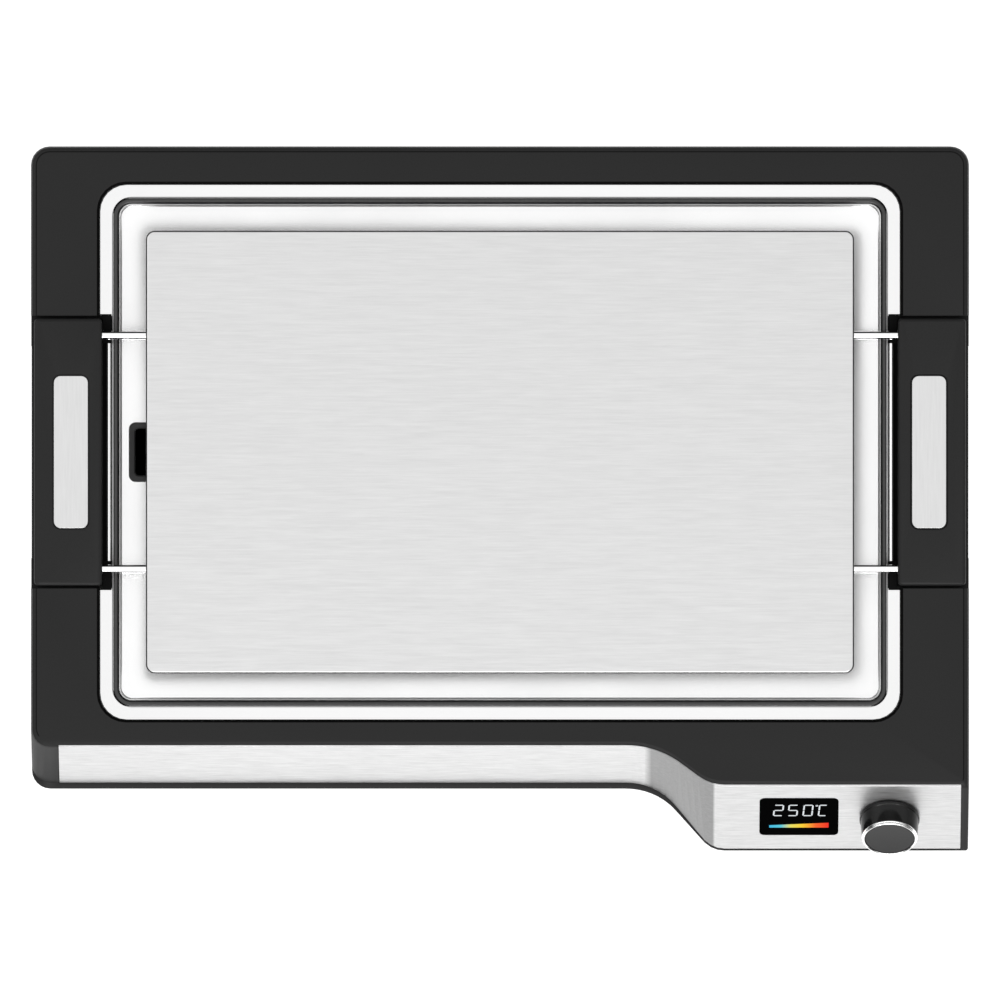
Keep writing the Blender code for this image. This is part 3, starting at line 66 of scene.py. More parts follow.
# ---------------------------------------------------------------- places read from the frame
KNOB_AXIS = Vector(JOINTS["knob_turn"]["axis"])
KNOB_SEAT = Vector(JOINTS["knob_turn"]["pos_m"])
PANEL_TILT = math.atan2(-KNOB_AXIS.y, KNOB_AXIS.z)
PANEL_TURN = Matrix.Rotation(PANEL_TILT, 4, "X")
PLATE_LOW, PLATE_HIGH = (Vector(corner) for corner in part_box("cooking_plate"))
TRAY_LOW, TRAY_HIGH = (Vector(corner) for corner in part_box("drip_tray"))
FUNNEL_LOW, FUNNEL_HIGH = (Vector(corner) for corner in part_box("drain_funnel"))
WINDOW_LOW, WINDOW_HIGH = (Vector(corner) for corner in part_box("display_window"))
TRAY_FLOOR = TRAY_LOW.z + TRAY_SHEET
OPENING_CENTRE = (TRAY_LOW.xy + TRAY_HIGH.xy) / 2
OPENING_HALF = (TRAY_HIGH.xy - TRAY_LOW.xy) / 2 + Vector((TRAY_GAP, TRAY_GAP))
STEP_START = WINDOW_LOW.x - STEP_FROM_WINDOW
STEP_STOP = WINDOW_LOW.x - STEP_STOP_FROM_WINDOW
PANEL_WINDOW = Vector(((WINDOW_LOW.x + WINDOW_HIGH.x) / 2, KNOB_SEAT.y, KNOB_SEAT.z))


# ---------------------------------------------------------------- shader groups
def new_group(name, inputs, outputs):
    group = bpy.data.node_groups.new(name, "ShaderNodeTree")
    for label, kind, value in inputs:
        socket = group.interface.new_socket(name=label, in_out="INPUT", socket_type=kind)
        if value is not None:
            socket.default_value = value
    for label, kind in outputs:
        group.interface.new_socket(name=label, in_out="OUTPUT", socket_type=kind)
    start = group.nodes.new("NodeGroupInput")
    end = group.nodes.new("NodeGroupOutput")
    return group, start, end


def make_brushed_group():
    """Fine parallel brush lines: a noise drawn out along one axis."""
    group, start, end = new_group(
        "brush_lines",
        [
            ("Vector", "NodeSocketVector", None), ("Along", "NodeSocketFloat", 6.0),
            ("Across", "NodeSocketFloat", 900.0), ("Depth", "NodeSocketFloat", 0.1),
        ],
        [("Lines", "NodeSocketFloat"), ("Normal", "NodeSocketVector")],
    )
    nodes, links = group.nodes, group.links
    stretch = nodes.new("ShaderNodeCombineXYZ")
    links.new(start.outputs["Along"], stretch.inputs["X"])
    links.new(start.outputs["Across"], stretch.inputs["Y"])
    links.new(start.outputs["Across"], stretch.inputs["Z"])
    mapping = nodes.new("ShaderNodeMapping")
    links.new(start.outputs["Vector"], mapping.inputs["Vector"])
    links.new(stretch.outputs["Vector"], mapping.inputs["Scale"])
    fine = nodes.new("ShaderNodeTexNoise")
    fine.inputs["Scale"].default_value = 1.0
    fine.inputs["Detail"].default_value = 5.0
    fine.inputs["Roughness"].default_value = 0.7
    links.new(mapping.outputs["Vector"], fine.inputs["Vector"])
    bump = nodes.new("ShaderNodeBump")
    bump.inputs["Distance"].default_value = 0.00002
    links.new(start.outputs["Depth"], bump.inputs["Strength"])
    links.new(fine.outputs["Fac"], bump.inputs["Height"])
    links.new(fine.outputs["Fac"], end.inputs["Lines"])
    links.new(bump.outputs["Normal"], end.inputs["Normal"])
    return group


def make_grain_group():
    """Even moulded grain with a slow drift of tone over it."""
    group, start, end = new_group(
        "moulded_grain",
        [
            ("Vector", "NodeSocketVector", None), ("Grain", "NodeSocketFloat", 1400.0),
            ("Depth", "NodeSocketFloat", 0.2),
        ],
        [("Speckle", "NodeSocketFloat"), ("Drift", "NodeSocketFloat"), ("Normal", "NodeSocketVector")],
    )
    nodes, links = group.nodes, group.links
    fine = nodes.new("ShaderNodeTexNoise")
    fine.inputs["Detail"].default_value = 3.0
    links.new(start.outputs["Vector"], fine.inputs["Vector"])
    links.new(start.outputs["Grain"], fine.inputs["Scale"])
    slow = nodes.new("ShaderNodeTexNoise")
    slow.inputs["Scale"].default_value = 14.0
    slow.inputs["Detail"].default_value = 4.0
    links.new(start.outputs["Vector"], slow.inputs["Vector"])
    bump = nodes.new("ShaderNodeBump")
    bump.inputs["Distance"].default_value = 0.00003
    links.new(start.outputs["Depth"], bump.inputs["Strength"])
    links.new(fine.outputs["Fac"], bump.inputs["Height"])
    links.new(fine.outputs["Fac"], end.inputs["Speckle"])
    links.new(slow.outputs["Fac"], end.inputs["Drift"])
    links.new(bump.outputs["Normal"], end.inputs["Normal"])
    return group


BRUSH_LINES = make_brushed_group()
MOULDED_GRAIN = make_grain_group()


# ---------------------------------------------------------------- finishes
def new_material(name, metallic=0.0, **constants):
    material = bpy.data.materials.new(name)
    material.use_nodes = True
    nodes, links = material.node_tree.nodes, material.node_tree.links
    shader = nodes["Principled BSDF"]
    shader.inputs["Metallic"].default_value = metallic
    for label, value in constants.items():
        shader.inputs[label.replace("_", " ").title().replace("Ior", "IOR")].default_value = value
    coordinates = nodes.new("ShaderNodeTexCoord")
    return material, nodes, links, shader, coordinates.outputs["Object"]


def spread(nodes, links, source, low, high, from_low=0.3, from_high=0.7):
    """A number that runs from low to high as the mask runs over its middle range."""
    node = nodes.new("ShaderNodeMapRange")
    node.inputs["From Min"].default_value = from_low
    node.inputs["From Max"].default_value = from_high
    node.inputs["To Min"].default_value = low
    node.inputs["To Max"].default_value = high
    links.new(source, node.inputs["Value"])
    return node.outputs["Result"]


def tint(nodes, links, source, dark, light):
    """A colour between two tones, driven by a mask."""
    mix = nodes.new("ShaderNodeMix")
    mix.data_type = "RGBA"
    mix.inputs["A"].default_value = (*dark, 1)
    mix.inputs["B"].default_value = (*light, 1)
    links.new(source, mix.inputs["Factor"])
    return mix.outputs["Result"]


def brushed(name, dark, light, rough, along=45.0, across=900.0, depth=0.12, turn=0.0, painted_step_shade=0.0):
    """Brushed sheet: tone and roughness follow the brush lines; a painted shade may darken the rolled step.
    """
    material, nodes, links, shader, place = new_material(name, metallic=1.0)
    if turn:
        mapping = nodes.new("ShaderNodeMapping")
        mapping.inputs["Rotation"].default_value = (0, 0, turn)
        links.new(place, mapping.inputs["Vector"])
        place = mapping.outputs["Vector"]
    group = nodes.new("ShaderNodeGroup")
    group.node_tree = BRUSH_LINES
    group.inputs["Along"].default_value = along
    group.inputs["Across"].default_value = across
    group.inputs["Depth"].default_value = depth
    links.new(place, group.inputs["Vector"])
    mask = spread(nodes, links, group.outputs["Lines"], 0, 1)
    tone = tint(nodes, links, mask, dark, light)
    if painted_step_shade:
        tone = paint_step_shade(nodes, links, tone, place, painted_step_shade)
    links.new(tone, shader.inputs["Base Color"])
    roughness = spread(nodes, links, group.outputs["Lines"], rough - 0.05, rough + 0.05)
    links.new(roughness, shader.inputs["Roughness"])
    links.new(group.outputs["Normal"], shader.inputs["Normal"])
    return material


def paint_step_shade(nodes, links, tone, place, shade):
    """Painted shade: darken a tone over the rolled step of the front sheet, with a soft start and end."""
    split = nodes.new("ShaderNodeSeparateXYZ")
    links.new(place, split.inputs["Vector"])
    left = spread(nodes, links, split.outputs["X"], 1, shade, STEP_START, STEP_START + 4 * MM)
    right = spread(nodes, links, split.outputs["X"], 0, 1, STEP_STOP - 2.5 * MM, STEP_STOP)
    both = nodes.new("ShaderNodeMath")
    both.operation = "MAXIMUM"
    links.new(left, both.inputs[0])
    links.new(right, both.inputs[1])
    darken = nodes.new("ShaderNodeMix")
    darken.data_type = "RGBA"
    darken.blend_type = "MULTIPLY"
    darken.inputs["Factor"].default_value = 1
    links.new(tone, darken.inputs["A"])
    links.new(both.outputs["Value"], darken.inputs["B"])
    return darken.outputs["Result"]


def add_grain(made, dark, light, rough, grain, depth, drift):
    """Place the grain group in a material and let it drive tone, roughness and normal."""
    _, nodes, links, shader, place = made
    group = nodes.new("ShaderNodeGroup")
    group.node_tree = MOULDED_GRAIN
    group.inputs["Grain"].default_value = grain
    group.inputs["Depth"].default_value = depth
    links.new(place, group.inputs["Vector"])
    speckle = spread(nodes, links, group.outputs["Speckle"], 0, 1)
    links.new(tint(nodes, links, speckle, dark, light), shader.inputs["Base Color"])
    roughness = spread(nodes, links, group.outputs["Drift"], rough - drift, rough + drift)
    links.new(roughness, shader.inputs["Roughness"])
    links.new(group.outputs["Normal"], shader.inputs["Normal"])


def grained(name, dark, light, rough, grain=1400.0, depth=0.2, metallic=0.0, **constants):
    """Moulded, cast or polished surface: fine grain, with tone and roughness drifting slowly."""
    made = new_material(name, metallic=metallic, **constants)
    add_grain(made, dark, light, rough, grain, depth, drift=0.04)
    return made[0]


def pressed_tray(name, dark, light, rough, floor, bend_top):
    """Bright pressed sheet: polished over its floor, whiter and softer where the walls rise."""
    made = new_material(name)
    add_grain(made, dark, light, rough, grain=1600.0, depth=0.008, drift=0.03)
    material, nodes, links, shader, place = made
    split = nodes.new("ShaderNodeSeparateXYZ")
    links.new(place, split.inputs["Vector"])
    polish = spread(nodes, links, split.outputs["Z"], 0.93, 0.10, floor, bend_top)
    links.new(polish, shader.inputs["Metallic"])
    return material


def grey(value):
    return (value, value, value)


MATERIALS = {
    "black_plastic": grained("black_plastic", grey(0.013), grey(0.016), 0.46, specular_ior_level=0.17),
    "gloss_black": grained(
        "gloss_black", grey(0.006), grey(0.008), 0.16, depth=0.03, specular_ior_level=0.32
    ),
    # the front sheet's steel carries a painted shade over its S-step
    "brushed_steel": brushed("brushed_steel", grey(0.54), grey(0.72), 0.44, along=70.0, painted_step_shade=0.46),
    "tray_steel": pressed_tray("tray_steel", grey(0.94), grey(0.97), 0.24, TRAY_FLOOR, TRAY_FLOOR + 1.2 * MM),
    "chrome": grained("chrome", grey(0.88), grey(0.92), 0.06, grain=500.0, depth=0.02, metallic=1.0),
    "plate_metal": brushed("plate_metal", grey(0.62), grey(0.70), 0.36, along=40.0, across=800.0),
    "aluminium": grained("aluminium", grey(0.55), grey(0.65), 0.42, grain=700.0, metallic=1.0),
    "knob_cap_grey": grained("knob_cap_grey", grey(0.024), grey(0.027), 0.34, metallic=0.6, depth=0.1),
    "display_glass": grained(
        "display_glass", grey(0.0012), grey(0.0018), 0.18, depth=0.01, specular_ior_level=0.0
    ),
    "rubber": grained("rubber", grey(0.015), grey(0.025), 0.80, grain=900.0, depth=0.5),
    "circuit_board": grained("circuit_board", (0.010, 0.09, 0.035), (0.018, 0.13, 0.05), 0.45),
    "ceramic": grained("ceramic", (0.62, 0.60, 0.55), (0.72, 0.70, 0.64), 0.55, grain=800.0),
    "relay_blue": grained("relay_blue", (0.015, 0.05, 0.22), (0.02, 0.06, 0.26), 0.40),
    "sleeve": grained("sleeve", (0.62, 0.60, 0.57), (0.78, 0.76, 0.72), 0.75, grain=2200.0, depth=0.6),
    "cable": grained("cable", grey(0.015), grey(0.022), 0.55),
    "screw_steel": brushed("screw_steel", grey(0.42), grey(0.55), 0.30, along=600.0, across=600.0),
}
# painted shade: black where the base's opening chamfer and walls fall into shade
PAINTED_RECESS_SHADE = grained("painted_recess_shade", grey(0.003), grey(0.004), 0.60, specular_ior_level=0.04)
# painted shade: a dark line on the bevel just inside the base's shoulder
PAINTED_SHOULDER_SHADE = grained("painted_shoulder_shade", grey(0.006), grey(0.008), 0.5, specular_ior_level=0.06)
# painted reflection: dark bands along the sides of the chrome rods
PAINTED_ROD_SHADE = grained("painted_rod_shade", grey(0.030), grey(0.036), 0.08, grain=500.0, depth=0.02, metallic=1.0)
# painted highlight: a lighter grey line on the outer flank of the tray's rim
PAINTED_FLANK_HIGHLIGHT = grained("painted_flank_highlight", grey(0.62), grey(0.68), 0.30, grain=900.0, depth=0.03, metallic=0.1)
OUTER_STEEL = grained("outer_steel", grey(0.42), grey(0.48), 0.36, grain=900.0, depth=0.05, metallic=1.0)
# painted reflection: a dark steel tone on the tray's rolled rim stands for reflected dark surroundings
PAINTED_RIM_REFLECTION = grained("painted_rim_reflection", grey(0.060), grey(0.072), 0.40, grain=900.0, depth=0.03, metallic=1.0)
# painted shade: a dark tone on the plate's steep sides, for the dark outline round its edge
PAINTED_PLATE_EDGE_SHADE = brushed("painted_plate_edge_shade", grey(0.10), grey(0.14), 0.45, along=40.0, across=800.0)
DRAIN_PLASTIC = grained("drain_plastic", grey(0.010), grey(0.013), 0.30, depth=0.08)
INLAY_STEEL = brushed("inlay_steel", grey(0.63), grey(0.69), 0.36, turn=math.pi / 2)


# ---------------------------------------------------------------- mesh helpers
def finish_piece(bm, name, node, smooth=35, materials=None, hides=True):
    """Make a bmesh a piece that rides on its node's body and stands for that node."""
    mesh = bpy.data.meshes.new(name)
    bm.to_mesh(mesh)
    bm.free()
    for material in materials or [MATERIALS[SLOT_OF[node]]]:
        mesh.materials.append(material)
    mesh.shade_smooth()
    mesh.set_sharp_from_angle(angle=math.radians(smooth))
    piece = bpy.data.objects.new(name, mesh)
    bpy.context.scene.collection.objects.link(piece)
    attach(piece, BODY_OF[node])
    if hides:
        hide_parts(node)
    return piece


def ease_edges(piece, width, segments=3, angle=38):
    bevel = piece.modifiers.new("eased_edges", "BEVEL")
    bevel.width = width
    bevel.segments = segments
    bevel.limit_method = "ANGLE"
    bevel.angle_limit = math.radians(angle)
    bevel.harden_normals = True
    bevel.use_clamp_overlap = True


def merged_copy(node):
    """A CAD node's triangles merged into whole flat faces."""
    bm = bmesh.new()
    bm.from_mesh(frame["nodes"][node].data)
    bmesh.ops.remove_doubles(bm, verts=bm.verts, dist=MERGE_DISTANCE)
    bmesh.ops.dissolve_limit(bm, angle_limit=math.radians(FLAT_ANGLE), verts=bm.verts, edges=bm.edges)
    for face in bm.faces:
        face.material_index = 0
    return bm


def finished_copy(node, width, materials=None):
    """A merged copy of a CAD node with eased edges and smooth rounds."""
    bm = merged_copy(node)
    piece = finish_piece(bm, f"{node}_finished", node, materials=materials)
    if width:
        ease_edges(piece, width)


SIDE_SLOPE = 0.97             # a face steeper than this is a side, not part of the flat top


def in_opening(spot, margin):
    return abs(spot.x) < OPENING_HALF.x + margin and abs(spot.y) < OPENING_HALF.y + margin


def make_base_frame():
    """Moulded base: a painted shade line on a bevel inside its shoulder; the opening's chamfer and walls
    carry painted black shade.
    """
    node = "base_frame"
    high = Vector(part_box(node)[1])
    bm = merged_copy(node)
    bm.normal_update()
    shoulder, mouth = [], []
    for edge in bm.edges:
        if len(edge.link_faces) != 2 or min(vert.co.z for vert in edge.verts) < high.z - 0.05 * MM:
            continue
        side = min(edge.link_faces, key=lambda face: face.normal.z).normal
        spot = (edge.verts[0].co + edge.verts[1].co).xy / 2 - OPENING_CENTRE
        if side.z > SIDE_SLOPE:
            continue
        inside = in_opening(spot, 0.1 * MM)
        outwards = side.xy.dot(spot)
        if inside and outwards < 0 and abs(side.z) < 0.5:
            mouth.append(edge)
        elif outwards > 0 and (spot.y > 0 or abs(side.x) > 2 * abs(side.y)) and not inside:
            shoulder.append(edge)
    bevel = {
        "offset_type": "OFFSET", "profile": 0.5, "affect": "EDGES", "material": -1, "clamp_overlap": True,
    }
    # slot 2 paints shade on the shoulder bevel, slot 1 paints black shade on the opening's chamfer
    for edges, width, finish in ((shoulder, SHOULDER_SHADE_BEVEL, 2), (mouth, MOUTH_CHAMFER, 1)):
        for face in bmesh.ops.bevel(bm, geom=edges, offset=width, segments=1, **bevel)["faces"]:
            face.material_index = finish
    for face in bm.faces:
        spot = face.calc_center_median()
        # faces inside the opening below the top get painted black shade
        if in_opening(spot.xy - OPENING_CENTRE, 0.6 * MM) and spot.z < high.z - 0.3 * MM:
            face.material_index = 1
    plastics = [MATERIALS["black_plastic"], PAINTED_RECESS_SHADE, PAINTED_SHOULDER_SHADE]
    piece = finish_piece(bm, f"{node}_finished", node, materials=plastics)
    ease_edges(piece, 0.35 * MM)


def edge_loop_of_rectangle(bm, half_x, half_y, radius, z, centre, segments):
    """Edges of a rounded rectangle, from a one-cell grid with bevelled corners."""
    before = set(bm.faces)
    place = Matrix.Translation((centre[0], centre[1], z)) @ Matrix.Diagonal((half_x, half_y, 1, 1))
    corners = bmesh.ops.create_grid(bm, x_segments=1, y_segments=1, size=1, matrix=place)["verts"]
    bmesh.ops.bevel(
        bm, geom=corners, offset=radius, offset_type="OFFSET", segments=segments, profile=0.5,
        affect="VERTICES", material=-1,
    )
    face = next(face for face in bm.faces if face not in before)
    edges = list(face.edges)
    bmesh.ops.delete(bm, geom=[face], context="FACES_ONLY")
    return edges


def rectangle_stack(levels, centre, segments=10, closed=False):
    """Skin of rounded rectangles: levels are (half_x, half_y, radius, z); the ends are capped."""
    bm = bmesh.new()
    loops = [edge_loop_of_rectangle(bm, hx, hy, r, z, centre, segments) for hx, hy, r, z in levels]
    pairs = list(zip(loops, loops[1:]))
    if closed:
        pairs.append((loops[-1], loops[0]))
    for lower, upper in pairs:
        bmesh.ops.bridge_loops(bm, edges=lower + upper)
    if not closed:
        bmesh.ops.edgeloop_fill(bm, edges=loops[0])
        bmesh.ops.edgeloop_fill(bm, edges=loops[-1])
    bmesh.ops.recalc_face_normals(bm, faces=bm.faces)
    return bm


def arc(centre_a, centre_b, radius, start, end, steps):
    angles = [math.radians(start + (end - start) * i / steps) for i in range(steps + 1)]
    return [(centre_a + radius * math.cos(a), centre_b + radius * math.sin(a)) for a in angles]


def spun(profile, steps=96, closed=False):
    """Turn (radius, height) points about Z."""
    bm = bmesh.new()
    verts = [bm.verts.new((radius, 0, height)) for radius, height in profile]
    edges = [bm.edges.new(pair) for pair in zip(verts, verts[1:])]
    if closed:
        edges.append(bm.edges.new((verts[-1], verts[0])))
    bmesh.ops.spin(
        bm, geom=verts + edges, cent=(0, 0, 0), axis=(0, 0, 1), dvec=(0, 0, 0), angle=math.tau,
        steps=steps, use_merge=True,
    )
    bmesh.ops.remove_doubles(bm, verts=bm.verts, dist=0.000005)
    bmesh.ops.recalc_face_normals(bm, faces=bm.faces)
    return bm


def on_panel(bm, seat):
    bmesh.ops.transform(bm, matrix=Matrix.Translation(seat) @ PANEL_TURN, verts=bm.verts)
    return bm


# ---------------------------------------------------------------- finished pieces
SIDE_STARTS = 0.82            # the plate's painted edge shade begins where its round turns past this slope


def make_cooking_plate():
    """Thick plate with softly rounded edges; its steep sides carry a painted dark shade."""
    centre = (PLATE_LOW + PLATE_HIGH) / 2
    half = (PLATE_HIGH - PLATE_LOW) / 2
    round_edge = 1.4 * MM
    corner = 5 * MM
    outline = arc(round_edge, PLATE_LOW.z + round_edge, round_edge, 270, 180, 6)
    outline += arc(round_edge, PLATE_HIGH.z - round_edge, round_edge, 180, 90, 6)
    levels = [(half.x - inset, half.y - inset, corner - inset, z) for inset, z in outline]
    bm = rectangle_stack(levels, centre)
    bm.normal_update()
    # steep side faces get the painted edge shade
    for face in bm.faces:
        face.material_index = 1 if abs(face.normal.z) < SIDE_STARTS else 0
    metals = [MATERIALS["plate_metal"], PAINTED_PLATE_EDGE_SHADE]
    finish_piece(bm, "cooking_plate_finished", "cooking_plate", materials=metals)


FLANK_WIDTH = 0.8 * MM        # the outer flank of the tray's rolled rim that carries a painted highlight


def make_drip_tray():
    """Pressed tray with an opening for the drain; its rolled rim carries a painted dark reflection, with a
    painted highlight along its outer flank.
    """
    centre = (TRAY_LOW + TRAY_HIGH) / 2
    half = (TRAY_HIGH - TRAY_LOW) / 2
    bead = 2.05 * MM
    bend = 1.0 * MM
    wall_foot = 4.6 * MM
    floor = TRAY_FLOOR
    outer_bend = arc(wall_foot + bend, floor + bend, bend + TRAY_SHEET, 270, 180, 6)
    rolled = arc(bead, TRAY_HIGH.z - bead, bead, -55, -360, 24)
    inner_bend = arc(wall_foot + bend, floor + bend, bend, 180, 270, 6)
    levels = [
        (half.x - inset, half.y - inset, max(11 * MM - inset, 3 * MM), z)
        for inset, z in outer_bend + rolled + inner_bend
    ]
    bm = rectangle_stack(levels, centre)
    bm.normal_update()
    for face in bm.faces:
        spot = face.calc_center_median()
        in_rim = spot.z > TRAY_HIGH.z - 2 * bead
        inset = min(half.x - abs(spot.x - centre.x), half.y - abs(spot.y - centre.y))
        on_flank = inset < FLANK_WIDTH and spot.z > TRAY_HIGH.z - bead
        outside = face.normal.z < -0.3 or face.normal.xy.dot(spot.xy - centre.xy) > 0
        # rim faces get the painted dark reflection, the outer flank the painted highlight
        if in_rim:
            face.material_index = 2 if on_flank else 1
        else:
            face.material_index = 3 if outside else 0
    metals = [MATERIALS["tray_steel"], PAINTED_RIM_REFLECTION, PAINTED_FLANK_HIGHLIGHT, OUTER_STEEL]
    tray = finish_piece(bm, "drip_tray_finished", "drip_tray", materials=metals)
    lap = 1.2 * MM
    drain = (FUNNEL_LOW + FUNNEL_HIGH) / 2
    half_drain = (FUNNEL_HIGH - FUNNEL_LOW) / 2
    levels = [(half_drain.x - lap, half_drain.y - lap, 2.8 * MM, z) for z in (floor - 4 * MM, floor + 4 * MM)]
    subtract(tray, rectangle_stack(levels, drain))


def make_drain_funnel():
    """Lined drain: a lipped frame that slopes in to the hole, and a spout below the tray."""
    centre = (FUNNEL_LOW + FUNNEL_HIGH) / 2
    half = (FUNNEL_HIGH - FUNNEL_LOW) / 2
    top = FUNNEL_HIGH.z
    low = FUNNEL_LOW.z
    neck = top - 2.6 * MM
    lap = 1.5                 # insets and corners are in millimetres here
    levels = [
        (0, 3.8, top - 1.0 * MM), (0, 3.8, top - 0.35 * MM), (0.35, 3.5, top), (3.0, 2.6, top - 0.25 * MM),
        (3.5, 2.2, top - 0.7 * MM), (5.2, 1.8, neck), (5.4, 1.7, neck - 0.4 * MM),
        (5.5, 1.6, low), (4.4, 2.2, low), (4.2, 2.2, neck - 1.4 * MM),
        (lap, 2.6, neck - 0.6 * MM), (lap, 2.6, top - 1.0 * MM),
    ]
    levels = [(half.x - inset * MM, half.y - inset * MM, corner * MM, z) for inset, corner, z in levels]
    bm = rectangle_stack(levels, centre, closed=True)
    finish_piece(bm, "drain_funnel_finished", "drain_funnel", materials=[DRAIN_PLASTIC], smooth=24)


def subtract(piece, cutter_bm):
    """Cut a shape out of a piece and keep the cut mesh."""
    mesh = bpy.data.meshes.new("cutter")
    cutter_bm.to_mesh(mesh)
    cutter_bm.free()
    cutter = bpy.data.objects.new("cutter", mesh)
    bpy.context.scene.collection.objects.link(cutter)
    modifier = piece.modifiers.new("opening", "BOOLEAN")
    modifier.operation = "DIFFERENCE"
    modifier.solver = "EXACT"
    modifier.object = cutter
    graph = bpy.context.evaluated_depsgraph_get()
    result = bpy.data.meshes.new_from_object(piece.evaluated_get(graph))
    piece.modifiers.clear()
    old = piece.data
    piece.data = result
    bpy.data.meshes.remove(old)
    bpy.data.objects.remove(cutter)


ROD_SHADE_FROM, ROD_SHADE_TO = 0.46, 0.82        # slopes between which a rod's side carries a painted dark reflection band


def make_rod(node):
    """Bright tube with a softened mouth at each end and painted dark reflection bands along its sides."""
    low, high = (Vector(corner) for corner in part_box(node))
    half = (high.x - low.x) / 2
    radius = (high.z - low.z) / 2
    bore = 1.8 * MM
    lip = 0.25 * MM
    profile = [
        (radius, half - lip), (radius, -half + lip), (radius - lip, -half),
        (bore, -half), (bore, half), (radius - lip, half),
    ]
    bm = spun(profile, steps=48, closed=True)
    place = Matrix.Translation((low + high) / 2) @ Matrix.Rotation(math.pi / 2, 4, "Y")
    bmesh.ops.transform(bm, matrix=place, verts=bm.verts)
    bm.normal_update()
    # faces on the rod's sides get the painted dark reflection band
    for face in bm.faces:
        face.material_index = 1 if ROD_SHADE_FROM < abs(face.normal.y) < ROD_SHADE_TO else 0
    finish_piece(bm, f"{node}_finished", node, materials=[MATERIALS["chrome"], PAINTED_ROD_SHADE])


def make_stop_bar(node):
    """Solid round bar across the tray, with softened ends."""
    low, high = (Vector(corner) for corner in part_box(node))
    half = (high.y - low.y) / 2
    radius = (high.z - low.z) / 2
    lip = 0.3 * MM
    bm = spun([(0, half), (radius - lip, half), (radius, half - lip), (radius, -half + lip),
               (radius - lip, -half), (0, -half)], steps=40)
    place = Matrix.Translation((low + high) / 2) @ Matrix.Rotation(math.pi / 2, 4, "X")
    bmesh.ops.transform(bm, matrix=place, verts=bm.verts)
    finish_piece(bm, f"{node}_finished", node)


def make_knob():
    """Gloss body with a foot flange, bright rounded ring and a shallow dished cap."""
    base = 1.2 * MM
    top = 15.9 * MM
    radius = 17 * MM
    top_radius = 15.85 * MM
    ring_low = top - 1.7 * MM
    seat = ring_low - 0.3 * MM
    body = spun([
        (0, seat), (top_radius - 0.4 * MM, seat), (top_radius - 0.05 * MM, seat - 0.3 * MM),
        (radius - 0.55 * MM, base + 2.4 * MM), (radius - 0.5 * MM, base + 2.0 * MM),
        (radius - 0.1 * MM, base + 1.7 * MM),
        (radius, base + 1.4 * MM), (radius, base + 0.3 * MM), (radius - 0.3 * MM, base), (9.5 * MM, base),
        (9.5 * MM, 4.8 * MM), (3.3 * MM, 4.8 * MM), (3.3 * MM, 12.3 * MM), (0, 12.3 * MM),
    ])
    finish_piece(on_panel(body, KNOB_SEAT), "knob_body_finished", "knob_body", smooth=30)
    inner = top_radius - 1.7 * MM
    shoulder = ring_low + 0.55 * MM
    crown = arc(inner + 0.6 * MM, top - 0.6 * MM, 0.6 * MM, 180, 0, 12)
    step = [
        (inner + 1.2 * MM, shoulder), (top_radius - 0.1 * MM, shoulder), (top_radius, shoulder - 0.1 * MM),
    ]
    ring = spun([(inner, ring_low)] + crown + step + [(top_radius, ring_low)], closed=True)
    finish_piece(on_panel(ring, KNOB_SEAT), "knob_ring_finished", "knob_ring", smooth=50)
    cap_radius = inner - 0.3 * MM
    cap_top = top - 0.5 * MM
    dish = [(cap_radius * i / 10, cap_top - 0.35 * MM * (1 - (i / 10) ** 2)) for i in range(10)]
    cap = spun(dish + [
        (cap_radius - 0.3 * MM, cap_top - 0.02 * MM), (cap_radius, cap_top - 0.3 * MM),
        (cap_radius, ring_low), (0, ring_low),
    ])
    finish_piece(on_panel(cap, KNOB_SEAT), "knob_cap_finished", "knob_cap", smooth=40)


